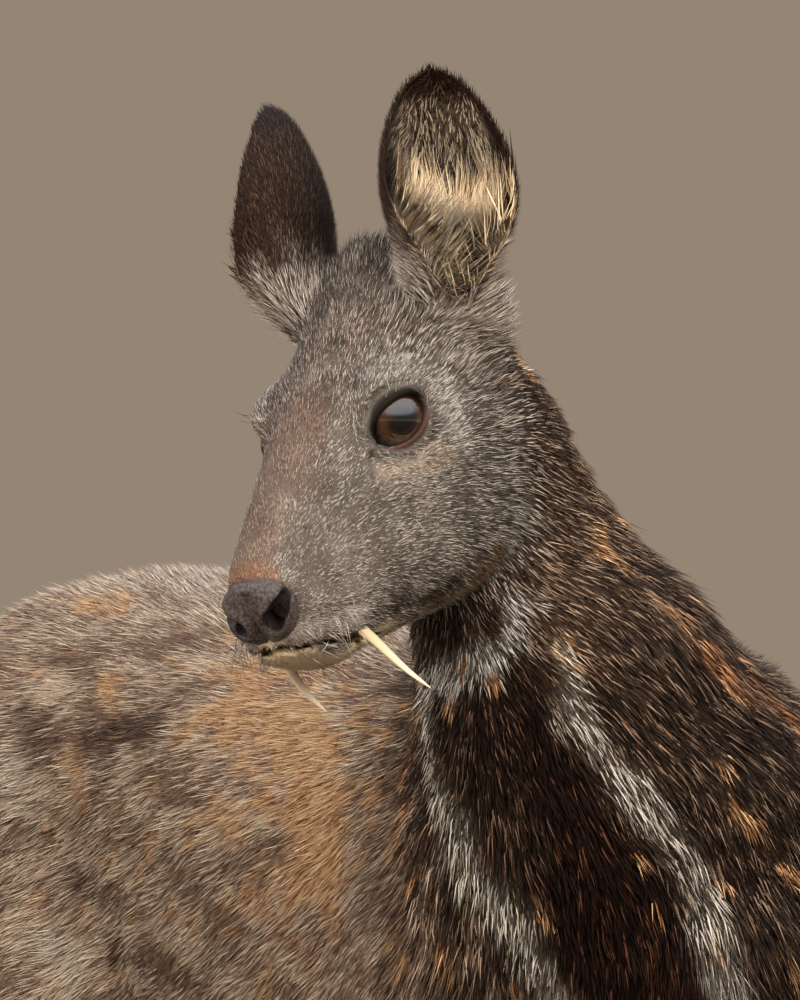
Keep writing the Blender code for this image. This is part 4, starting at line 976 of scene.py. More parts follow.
def set_attribute(piece: Thing, name: str, values: Array) -> None:
    """Stores numbers, vectors or colours on a piece's points, by how many columns they have."""
    columns = 1 if values.ndim == 1 else values.shape[1]
    kind, word = {1: ("FLOAT", "value"), 3: ("FLOAT_VECTOR", "vector"), 4: ("FLOAT_COLOR", "color")}[columns]
    made = piece.data.attributes.new(name, kind, "POINT")
    made.data.foreach_set(word, values.astype(np.float32).ravel())


def set_colour(piece: Thing, colour: Array) -> None:
    """Stores linear colours as the attribute that every coat material reads."""
    set_attribute(piece, "coat", np.column_stack([np.clip(colour, 0, 1), np.ones(len(colour))]))


@dataclass
class Roots:
    """Where tufts grow and how each of them lies; arrays with one row for each tuft."""

    place: Array
    normal: Array
    flow: Array
    length: Array
    width: Array
    lift: Array
    tone: Array

    def __len__(self) -> int:
        """How many tufts there are."""
        return len(self.place)

    def only(self, keep: Array) -> Roots:
        """The roots that a mask or an index keeps."""
        return Roots(*[getattr(self, name)[keep] for name in self.__dataclass_fields__])


class Scatter:
    """Draws places on a surface by area and density, the same at each run."""

    def __init__(self, seed: int) -> None:
        """Fixes the draw."""
        self.draw = np.random.default_rng(SEED + seed)

    def over(self, places: Array, normals: Array, tris: Array, density: Array) -> tuple[Array, Array]:
        """Places and normals, spread so that each triangle gets its area times its density.

        Args:
            places: the surface's points.
            normals: their normals.
            tris: triangles.
            density: tufts wanted for each square centimetre of each triangle.

        Returns:
            Drawn places and unit normals.
        """
        a, b, c = places[tris[:, 0]], places[tris[:, 1]], places[tris[:, 2]]
        area = np.linalg.norm(np.cross(b - a, c - a), axis=1) / 2
        total = np.cumsum(area * density)
        count = int(total[-1])
        where = (np.arange(count) + self.draw.uniform(0, 1, count)) * (total[-1] / max(count, 1))
        tri = tris[np.searchsorted(total, where).clip(0, len(tris) - 1)]
        u, v = self.draw.uniform(0, 1, (2, count, 1))
        flip = u + v > 1
        u, v = np.where(flip, 1 - u, u), np.where(flip, 1 - v, v)
        shares = (1 - u - v, u, v)
        place = sum(s * places[tri[:, k]] for k, s in enumerate(shares))
        normal = sum(s * normals[tri[:, k]] for k, s in enumerate(shares))
        return place, unit(normal)


class Cut(Enum):
    """How a tuft is cut: a short spike of 4 faces, or a bent lock of 6 that is widest at its middle."""

    SPIKE = 4
    LOCK = 6


@dataclass(frozen=True)
class Tufts:
    """Turns roots into closed tufts, with their colours, shading normals and baking map.

    Attributes:
        cut: the tuft's form.
        draw: where its random numbers come from.
        patch: width of a tuft's patch on the baking map.
        flat: height of its section as a share of its width.
        most: largest number of triangles in a piece.
        rise, fall: degrees that it leaves the skin above its lift and ends below it.
        sunk: how deep its root is, in centimetres.
        knee: share of its length where a lock bends.
        rounding: how far its shading normals turn to its sides.
        pale_reach, dull_reach: share of the tip's colour in pale and in other ends, least and most.
        bright, dim: brightness of its end and of the rest, least and most.
        pale_body: share of its end's colour in the rest of a pale tuft.
        shade: brightness at the skin, painted shade that darkens each tuft at its root.
    """

    cut: Cut
    draw: np.random.Generator
    patch: float = 0.003
    flat: float = 0.32
    most: int = 190000
    rise: float = 14.0
    fall: float = 12.0
    sunk: float = 0.04
    knee: float = 0.4
    rounding: float = 0.85
    pale_reach: tuple[float, float] = (0.55, 1.0)
    dull_reach: tuple[float, float] = (0.0, 0.22)
    bright: tuple[float, float] = (0.75, 1.25)
    dim: tuple[float, float] = (0.28, 1.1)
    pale_body: float = 0.6
    shade: float = 0.5

    def shape(self, roots: Roots) -> tuple[Array, Array, Array, Array, Array]:
        """The points of every tuft.

        A tuft leaves the skin at its lift plus the rise and ends at its lift less the fall, so it bends over.
        Its section is a low triangle.

        Args:
            roots: where the tufts are.

        Returns:
            Places, faces, share of the length, side of the tuft (-1 to 1) and normals, by tuft and point.
        """
        n, flow = roots.normal, roots.flow
        ahead = unit(flow - (flow * n).sum(1, keepdims=True) * n)
        side = np.cross(n, ahead)
        rise, fall = np.radians(roots.lift + self.rise)[:, None], np.radians(roots.lift - self.fall)[:, None]
        length, half = roots.length[:, None], roots.width[:, None] / 2
        base = roots.place - n * self.sunk
        out = ahead * np.cos(rise) + n * np.sin(rise)
        over = ahead * np.cos(fall) + n * np.sin(fall)
        if self.cut is Cut.SPIKE:
            tip = base + (out + over) * length / 2
            high = base + n * half * 2 * self.flat
            points = np.stack([base - side * half, base + side * half, high, tip], 1)
            faces = np.array([[0, 2, 3], [2, 1, 3], [1, 0, 3], [0, 1, 2]])
            along, across = np.array([0, 0, 0, 1.0]), np.array([-1, 1, 0, 0.0])
        else:
            knee = base + out * length * self.knee
            tip = knee + over * length * (1 - self.knee)
            high = knee + n * half * 2 * self.flat
            points = np.stack([base, knee - side * half, knee + side * half, high, tip], 1)
            faces = np.array([[0, 3, 1], [0, 2, 3], [0, 1, 2], [1, 3, 4], [3, 2, 4], [2, 1, 4]])
            along, across = np.array([0, *(self.knee,) * 3, 1.0]), np.array([0, -1, 1, 0, 0.0])
        normals = unit(n[:, None] * self.rounding + side[:, None] * across[:, None] * self.rounding)
        return points, faces, along, across, normals

    def colours(self, roots: Roots, along: Array) -> Array:
        """The base colour, with painted shade at the skin, and the end's colour, which is pale for its share
        of tufts.
        """
        count, draw = len(roots), self.draw.uniform
        pale = draw(0, 1, count) < roots.tone[:, 6]
        reach = np.where(pale, draw(*self.pale_reach, count), draw(*self.dull_reach, count))
        light = (roots.tone[:, :3] + (roots.tone[:, 3:6] - roots.tone[:, :3]) * reach[:, None])
        light = light * draw(*self.bright, (count, 1))
        body = roots.tone[:, :3] * draw(*self.dim, (count, 1))
        body = body + (light - body) * np.where(pale, self.pale_body, 0.0)[:, None]
        made = np.empty((count, len(along), 3))
        for k, share in enumerate(along):
            # the root's point gets the base colour times shade: painted shade at the skin
            made[:, k] = body * self.shade if share == 0 else (light if share == 1 else body)
        return made

    def build(self, name: str, roots: Roots, chart: Array, shift: Array) -> list[Thing]:
        """Makes the coat pieces of some roots, split along the chart so that none is too large.

        Args:
            name: name of the first piece; the next ones get a number.
            roots: where the tufts are.
            chart: each root's place on the unwrap of the skin's own shape.
            shift: metres from the animal's axes to the frame's.

        Returns:
            The pieces.
        """
        low, high = chart.min(0), chart.max(0)
        chart = 0.02 + 0.96 * (chart - low) / np.maximum(high - low, 1e-6)
        pieces = math.ceil(len(roots) * self.cut.value / self.most)
        made = []
        for k, index in enumerate(np.array_split(np.argsort(chart[:, 0], kind="stable"), pieces)):
            part = roots.only(index)
            points, faces, along, across, normals = self.shape(part)
            count, corners = points.shape[:2]
            faces = (faces[None] + (np.arange(count) * corners)[:, None, None]).reshape(-1, 3)
            piece = add_piece(name if pieces == 1 else f"{name}_{k + 1}", points.reshape(-1, 3), faces, shift)
            set_colour(piece, self.colours(part, along).reshape(-1, 3))
            set_attribute(piece, "lie", normals.reshape(-1, 3))
            spot = chart[index][:, None] + np.stack([across / 2, along - 0.5], 1)[None] * self.patch
            layer = piece.data.uv_layers.new(name="OFBake")
            layer.data.foreach_set("uv", spot.reshape(-1, 2)[faces.ravel()].astype(np.float32).ravel())
            made.append(piece)
        return made


class Value:
    """A shader number whose sums, products and powers add their Math nodes."""

    def __init__(self, graph: Graph, socket: Socket) -> None:
        """Wraps a socket of a graph."""
        self.graph, self.socket = graph, socket

    def _join(self, operation: str, a: object, b: object) -> Value:
        """A Math node on two numbers."""
        made = self.graph.add("ShaderNodeMath", {"operation": operation}, {0: a, 1: b})
        return Value(self.graph, made.outputs[0])

    def __add__(self, other: object) -> Value:
        """Sum."""
        return self._join("ADD", self, other)

    def __mul__(self, other: object) -> Value:
        """Product."""
        return self._join("MULTIPLY", self, other)

    def __rsub__(self, other: object) -> Value:
        """Difference from a number."""
        return self._join("SUBTRACT", other, self)

    def __pow__(self, other: object) -> Value:
        """Power."""
        return self._join("POWER", self, other)

    __radd__, __rmul__ = __add__, __mul__


class Graph:
    """The nodes of a material or a sky, each made by one method."""

    def __init__(self, owner: bpy.types.ID, shader: str = "Principled BSDF") -> None:
        """Takes up the nodes that a new material or world starts with."""
        owner.use_nodes = True
        self.tree = owner.node_tree
        self.shader = self.tree.nodes[shader]

    def add(self, kind: str, settings: dict | None = None, sockets: dict | None = None) -> bpy.types.Node:
        """A node, with its settings made first and its sockets given values or links.

        Args:
            kind: the node's type.
            settings: its properties; stops is a colour ramp's list of places and colours.
            sockets: input names or numbers, and numbers, sockets or values.

        Returns:
            The node.
        """
        made = self.tree.nodes.new(kind)
        for name, value in (settings or {}).items():
            if name == "stops":
                ramp = made.color_ramp.elements
                while len(ramp) < len(value):
                    ramp.new(0.5)
                for stop, (place, colour) in zip(ramp, value):
                    stop.position, stop.color = place, (*colour, 1)
            else:
                setattr(made, name, value)
        self.link(made, sockets or {})
        return made

    def link(self, node: bpy.types.Node, sockets: dict) -> None:
        """Gives a node's inputs their values or links."""
        for name, value in sockets.items():
            socket = node.inputs[name]
            if isinstance(value, Value):
                value = value.socket
            if isinstance(value, Socket):
                self.tree.links.new(value, socket)
            else:
                colour = np.ndim(value) and len(value) == 3 and socket.type == "RGBA"
                socket.default_value = (*value, 1) if colour else value

    def read(self, name: str, output: str) -> Socket:
        """An attribute of the piece: its Color, Vector or Fac."""
        return self.add("ShaderNodeAttribute", {"attribute_name": name}).outputs[output]

    def noise(self, scale: float, detail: float = 3.0, stretch: Place = (1, 1, 1)) -> Value:
        """Noise on the Object coordinates, with its waves stretched along the axes."""
        place = self.add("ShaderNodeTexCoord").outputs["Object"]
        place = self.add("ShaderNodeMapping", None, {"Vector": place, "Scale": stretch}).outputs[0]
        made = self.add("ShaderNodeTexNoise", None, {"Vector": place, "Scale": scale, "Detail": detail})
        return Value(self, made.outputs["Fac"])

    def ramp(self, stops: Sequence, share: str) -> Socket:
        """Colours read off a ramp by one of the piece's attributes."""
        return self.add("ShaderNodeValToRGB", {"stops": stops}, {"Fac": self.read(share, "Fac")}).outputs[0]

    def cells(self, scale: float) -> Value:
        """Distance to the nearest of scattered places, on the Object coordinates."""
        place = self.add("ShaderNodeTexCoord").outputs["Object"]
        made = self.add("ShaderNodeTexVoronoi", {"feature": "SMOOTH_F1"}, {"Vector": place, "Scale": scale})
        return Value(self, made.outputs["Distance"])

    def mixed(self, share: object, a: object, b: object, how: str = "MIX") -> Socket:
        """Two colours mixed by a share."""
        sockets = {"Factor": share, 6: a, 7: b}
        return self.add("ShaderNodeMix", {"data_type": "RGBA", "blend_type": how}, sockets).outputs[2]

    def bump(self, height: object, distance: float, strength: float) -> Socket:
        """A normal bent by a height in metres."""
        sockets = {"Height": height, "Distance": distance, "Strength": strength}
        return self.add("ShaderNodeBump", None, sockets).outputs[0]


@dataclass(frozen=True)
class Finish:
    """A material: its name, a slot name and the numbers of its shader."""

    name: str
    slot: str
    roughness: float = 0.6
    specular: float = 0.4
    coat: float = 0.0

    def make(self) -> bpy.types.Material:
        """Builds the material: the numbers that are the same all over, and then what paint adds."""
        made = bpy.data.materials.new(self.name)
        graph = Graph(made)
        graph.link(graph.shader, {"Roughness": self.roughness, "Specular IOR Level": self.specular,
                                  "Coat Weight": self.coat})
        self.paint(graph)
        return made

    def paint(self, graph: Graph) -> None:
        """Its colours and bumps."""


@dataclass(frozen=True)
class Fur(Finish):
    """Hair: the tuft's own colours, broken up by fine noise, and the soft shading normals."""

    streaks: float = 900.0

    def paint(self, graph: Graph) -> None:
        """Its colours and bumps."""
        speck = graph.noise(self.streaks, 2.0)
        shade = graph.mixed(speck, (1.35, 1.32, 1.3), (0.68, 0.66, 0.65))
        tint = graph.mixed(1.0, graph.read("coat", "Color"), shade, "MULTIPLY")
        lie = graph.add("ShaderNodeVectorMath", {"operation": "NORMALIZE"}, {0: graph.read("lie", "Vector")})
        graph.link(graph.shader, {"Base Color": tint, "Normal": lie.outputs[0], "Sheen Weight": 0.04,
                                  "Roughness": speck * 0.25 + 0.5, "Sheen Roughness": 0.4})


@dataclass(frozen=True)
class Hide(Finish):
    """The skin under the coat: the same markings, with painted shade between hairs, and a fine hairy bump."""

    # darker: how deep the painted shade between hairs goes, as a share of the colour
    darker: float = 0.55

    def paint(self, graph: Graph) -> None:
        """Its colours and bumps."""
        hair = graph.noise(1500.0)
        # low noise, between the hairs, is painted shade down to darker times the colour
        shade = graph.mixed(hair, (self.darker,) * 3, (1.25, 1.22, 1.18))
        tint = graph.mixed(1.0, graph.read("coat", "Color"), shade, "MULTIPLY")
        graph.link(graph.shader, {"Base Color": tint, "Normal": graph.bump(hair, 0.0006, 0.8),
                                  "Roughness": hair * 0.2 + 0.6})


@dataclass(frozen=True)
class WetLeather(Finish):
    """The nose's bare skin: grey-brown, pebbled in small cells with painted shade in the grooves, painted
    shadow black in its nostrils, and a little moist.
    """

    def paint(self, graph: Graph) -> None:
        """Its colours and bumps."""
        pebble, grain = graph.cells(900.0), graph.noise(600.0, 4.0)
        # the cells' edges are painted dark: painted shade in the grooves between pebbles
        tint = graph.mixed(pebble * 1.4, (0.115, 0.085, 0.075), (0.016, 0.011, 0.01))
        tint = graph.mixed(grain * 0.5, tint, (0.04, 0.026, 0.021))
        # the nostrils are painted near black: painted shadow in the holes
        tint = graph.mixed(graph.read("pit", "Fac"), tint, (0.003, 0.002, 0.002))
        graph.link(graph.shader, {"Base Color": tint, "Roughness": grain * 0.35 + 0.28,
                                  "Normal": graph.bump(1 - pebble + grain * 0.3, 0.0005, 0.7)})


@dataclass(frozen=True)
class DarkSkin(Finish):
    """The bare edge of the eyelids: the lid's own colours, finely creased with painted shade in the creases,
    and a little moist.
    """

    def paint(self, graph: Graph) -> None:
        """Its colours and bumps."""
        crease = graph.noise(700.0, 3.0, (1, 1, 2.5))
        # the crease noise also sets the colour, darker in its low parts: painted shade in the creases
        shade = graph.mixed(crease, (0.5,) * 3, (1.4,) * 3)
        tint = graph.mixed(1.0, graph.read("coat", "Color"), shade, "MULTIPLY")
        graph.link(graph.shader, {"Base Color": tint, "Roughness": crease * 0.3 + 0.5,
                                  "Normal": graph.bump(crease, 0.0004, 0.6)})


@dataclass(frozen=True)
class Iris(Finish):
    """The eyeball: a wide dark pupil in a brown iris that darkens to its edge, under a clear wet coat."""

    rings: tuple = ((0, (0.003, 0.0015, 0.001)), (0.35, (0.014, 0.005, 0.002)),
                    (0.62, (0.045, 0.015, 0.005)), (0.75, (0.016, 0.007, 0.004)),
                    (0.9, (0.002, 0.0015, 0.0015)))
    hole: tuple = ((0.45, (1, 1, 1)), (0.55, (0, 0, 0)))

    def paint(self, graph: Graph) -> None:
        """Its colours and bumps."""
        fibre = graph.noise(1400.0)
        ring = graph.mixed(fibre * 0.5, graph.ramp(self.rings, "gaze"), (0.012, 0.006, 0.003))
        pupil = graph.ramp(self.hole, "pupil")
        graph.link(graph.shader, {"Base Color": graph.mixed(pupil, ring, (0.002, 0.0015, 0.0015)),
                                  "Coat Roughness": 0.02, "Coat IOR": 2.3})


@dataclass(frozen=True)
class Ivory(Finish):
    """The tusks: cream, yellower and darker to the root, with fine lines along them."""

    tints: tuple = ((0, (0.34, 0.21, 0.09)), (0.3, (0.62, 0.49, 0.29)), (0.75, (0.8, 0.71, 0.53)),
                    (1, (0.85, 0.8, 0.66)))

    def paint(self, graph: Graph) -> None:
        """Its colours and bumps."""
        line = graph.noise(420.0, 3.0, (3, 3, 0.5))
        tint = graph.mixed(line * 0.3, graph.ramp(self.tints, "along"), (0.5, 0.37, 0.2))
        graph.link(graph.shader, {"Base Color": tint, "Roughness": line * 0.25 + 0.22,
                                  "Normal": graph.bump(line, 0.0001, 0.4)})


@dataclass(frozen=True)
class Horn(Finish):
    """Hooves and dewclaws: black-brown, with growth rings round them and scuffed edges."""

    def paint(self, graph: Graph) -> None:
        """Its colours and bumps."""
        ring, scuff = graph.noise(300.0, 2.0, (0.3, 0.3, 3)), graph.noise(160.0, 5.0)
        tint = graph.mixed(ring, (0.012, 0.009, 0.008), (0.06, 0.047, 0.038))
        tint = graph.mixed(scuff ** 3.0 * 1.6, tint, (0.16, 0.13, 0.1))
        graph.link(graph.shader, {"Base Color": tint, "Roughness": scuff * 0.3 + 0.35,
                                  "Normal": graph.bump(ring, 0.0005, 0.6)})


@dataclass(frozen=True)
class Plain(Finish):
    """The floor: brown and matt, very slightly mottled."""

    tint: Place = (0.15, 0.12, 0.095)

    def paint(self, graph: Graph) -> None:
        """Its colours and bumps."""
        darker = tuple(c * 0.94 for c in self.tint)
        graph.link(graph.shader, {"Base Color": graph.mixed(graph.noise(6.0), self.tint, darker)})


class Stock:
    """Keeps each finish's material, made once, and dresses pieces in it."""

    def __init__(self) -> None:
        """Nothing is made yet."""
        self.made: dict[str, bpy.types.Material] = {}

    def dress(self, piece: Thing, finish: Finish, *nodes: str) -> Thing:
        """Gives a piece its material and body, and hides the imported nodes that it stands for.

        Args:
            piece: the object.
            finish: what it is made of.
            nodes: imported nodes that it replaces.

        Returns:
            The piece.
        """
        if finish.name not in self.made:
            self.made[finish.name] = finish.make()
        piece.data.materials.append(self.made[finish.name])
        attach(piece, "root")
        if nodes:
            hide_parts(*nodes)
        log.info("%s: %d faces", piece.name, len(piece.data.polygons))
        return piece


SIDES = ((1, "left"), (-1, "right"))
FLESH = ("torso", "neck", "head", "lower_jaw", "tail",
         *[f"{leg}_{side}_{part}" for leg in ("foreleg", "hindleg") for side in ("left", "right")
           for part in ("upper", "lower")])


@dataclass
class Skin:
    """One skin from nose to feet, a coat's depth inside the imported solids."""

    animal: Animal
    finish: Finish = Hide("hide", "body_coat", 0.7, 0.2)
    coarse: float = 0.5
    fine: float = 0.16

    def build(self, stock: Stock) -> None:
        """Meshes the skin's form on a grid that is finer at the head, and colours its points."""
        grid = (graded(-49.0, 15.4, self.coarse, (-0.6, 10.8, self.fine)),
                graded(-25.6, 12.8, self.coarse, (-24.6, -10.8, self.fine)),
                graded(0.9, 75.2, self.coarse, (56.0, 72.6, self.fine)))
        places, self.quads = surface_net(banded(self.animal.skin, grid), grid)
        self.places, self.normals = settled(self.animal.skin, places)
        tones = self.animal.tones(self.places)
        piece = add_piece("skin", self.places, self.quads, self.animal.shift)
        share = tones[:, 6:7] * 0.35
        set_colour(piece, (tones[:, :3] * (1 - share) + tones[:, 3:6] * share) * 0.8)
        stock.dress(piece, self.finish, *FLESH)


@dataclass
class Coat:
    """The hair of the body and head: tufts rooted in the skin, in pieces by part of the body.

    Attributes:
        animal: the form that it grows on.
        skin: the mesh that it grows on.
        finishes: the hair of each part.
        turns: strength of the smooth and of the random turns of the hair, in radians.
        sizes: the same for its length, as shares.
        lifts: the same for its lift, in degrees.
        from_eye: how strongly it turns away from the eyes.
    """

    animal: Animal
    skin: Skin
    finishes: dict[str, Finish] = field(default_factory=lambda: {
        part: Fur(f"{part}_fur", f"{part}_coat", 0.6, 0.25) for part in ("face", "neck", "leg", "body")})
    turns: tuple[float, float] = (0.16, 0.13)
    sizes: tuple[float, float] = (0.12, 0.16)
    lifts: tuple[float, float] = (5.0, 4.5)
    from_eye: float = 1.3

    def density(self, p: Array) -> Array:
        """Tufts for each square centimetre: layers of cover over a tuft's area, none on bare skin."""
        lie = self.animal.lie(p)
        q = self.animal.head.to_own(p)
        _, head = self.animal.parts(p)
        bare = np.ones(len(p))
        near = head < 1.5
        bare[near] *= smooth(-0.14, -0.03, self.animal.head.from_lids(q[near]))
        bare[near] *= smooth(0.0, 0.1, self.animal.head.lips(q[near]) - 0.07)
        bare[near] *= smooth(-0.05, 0.1, pad_edge(mirrored(q[near])))
        return 2 * lie[:, 6] / (lie[:, 3] * lie[:, 4]) * bare * (p[:, 2] > 1.2)

    def roots(self) -> Roots:
        """Where tufts grow, and how they lie: the guides' flow, stirred by smooth and by random turns."""
        skin, scatter = self.skin, Scatter(1)
        tris = halves(skin.quads)
        density = self.density(skin.places[tris].mean(1))
        place, normal = scatter.over(skin.places, skin.normals, tris, density)
        lie = self.animal.lie(place)
        count, draw = len(place), scatter.draw
        turn = self.turns[0] * self.animal.swirl(place) + draw.normal(0, self.turns[1], count)
        head, clump = self.animal.head, self.animal.clump(place)
        flow = unit(lie[:, :3]) + self.from_eye * head.round_eye(head.to_own(place)) @ head.axes.T
        flow = flow + np.cross(normal, flow) * turn[:, None]
        size = 1 + self.sizes[0] * clump + draw.normal(0, self.sizes[1], count)
        lift = lie[:, 5] + self.lifts[0] * clump + draw.normal(0, self.lifts[1], count)
        return Roots(place, normal, flow, lie[:, 3] * size.clip(0.5, 1.5),
                     lie[:, 4] * draw.uniform(0.75, 1.25, count), lift.clip(8, 60), self.animal.tones(place))

    def build(self, stock: Stock) -> None:
        """Sorts the roots by part, gives each part its unwrap, and makes its tufts."""
        roots = self.roots()
        p = roots.place
        q = self.animal.head.to_own(p)
        body, head = self.animal.parts(p)
        on_head = head < body + 0.4
        leg = ~on_head & (p[:, 2] < 33.0) & (np.abs(p[:, 1]) > 3)
        neck_far = chain(p, self.animal.body.neck, 1.0)
        neck = ~on_head & ~leg & (neck_far < loft(p, Curves(self.animal.body.trunk))) & (p[:, 2] > 44)
        trunk = ~on_head & ~leg & ~neck
        round_head = np.column_stack([q[:, 0], np.arctan2(q[:, 1], q[:, 2] + 2.5)])
        around_neck = np.column_stack([p[:, 2], np.arctan2(p[:, 1] + 4, p[:, 0] - 3.9)])
        round_trunk = np.column_stack([p[:, 0], np.arctan2(p[:, 1], p[:, 2] - 46)])
        ahead, left, fore = q[:, 0] > 2.0, q[:, 1] > 0, p[:, 0] > -15
        leg_x = np.where(fore, 0.6, np.interp(p[:, 2], (3, 23, 33), (-39.5, -43, -33)))
        leg_y = np.where(fore, 6.6, 7.1) * np.sign(p[:, 1])
        around = np.arctan2(p[:, 1] - leg_y, p[:, 0] - leg_x) / 7
        round_leg = np.column_stack([p[:, 2], around + (p[:, 1] > 0)])
        parts = (("coat_muzzle", "face", on_head & ahead, round_head),
                 ("coat_face_left", "face", on_head & ~ahead & left, round_head),
                 ("coat_face_right", "face", on_head & ~ahead & ~left, round_head),
                 ("coat_neck", "neck", neck, around_neck),
                 ("coat_trunk_left", "body", trunk & (p[:, 1] > 0), round_trunk),
                 ("coat_trunk_right", "body", trunk & (p[:, 1] <= 0), round_trunk),
                 ("coat_forelegs", "leg", leg & fore, round_leg),
                 ("coat_hindlegs", "leg", leg & ~fore, round_leg))
        for name, slot, mask, chart in parts:
            tufts = Tufts(Cut.LOCK if slot == "neck" else Cut.SPIKE, np.random.default_rng(SEED + len(name)))
            for piece in tufts.build(name, roots.only(mask), chart[mask], self.animal.shift):
                stock.dress(piece, self.finishes[slot])


def pad_edge(near: Array) -> Array:
    """Distance to the bare skin round the nose: an egg round the nostrils and the tip between them."""
    return ellipsoid(near, (8.75, 0.3, -3.25), (1.2, 1.6, 1.32))


@dataclass
class Nose:
    """The bare nose pad with its comma-shaped nostrils."""

    animal: Animal
    finish: Finish = WetLeather("nose_leather", "nose_pad", 0.4, 0.5, 0.45)
    step: float = 0.06
    wing: tuple = ((7.9, 0.74, -3.35), (0.95, 0.85, 1.1))
    span: tuple = ((7.2, 9.8), (-1.9, 1.95), (-4.9, -1.5))

    def form(self, q: Array) -> Array:
        """Distance to the pad: the head's form inside an egg, with ridges round the carved nostrils."""
        near, head = mirrored(q), self.animal.head
        hole = chain(near, head.nostril, 0.15)
        made = blend(head.solid(q), ellipsoid(near, *self.wing), 0.7)
        ridge = 0.12 * np.exp(-((hole - 0.16) / 0.2) ** 2)
        made = made - ridge * smooth(0.9, -0.9, near[:, 2] + 3.3 - near[:, 1])
        made = made + 0.14 * smooth(-0.3, 0.06, pad_edge(near))
        made = carve(made, hole, 0.16)
        groove = np.hypot(q[:, 1], np.maximum(q[:, 2] + 3.6, 0)) - 0.05
        made = carve(made, np.maximum(groove, -made - 0.1), 0.14)
        return np.maximum(made, pad_edge(near) - 0.06)

    def build(self, stock: Stock) -> None:
        """Meshes the pad in the head's own axes."""
        grid = [np.arange(low, high, self.step) for low, high in self.span]
        places, quads = surface_net(banded(self.form, grid), grid)
        places, _ = settled(self.form, places, 0.03)
        piece = add_piece("nose", self.animal.head.to_body(places), quads, self.animal.shift)
        hole = chain(mirrored(places), self.animal.head.nostril, 0.15)
        # how strongly the nostrils' painted shadow darkens the pad
        set_attribute(piece, "pit", smooth(0.14, -0.06, hole))
        stock.dress(piece, self.finish, "nose_pad")


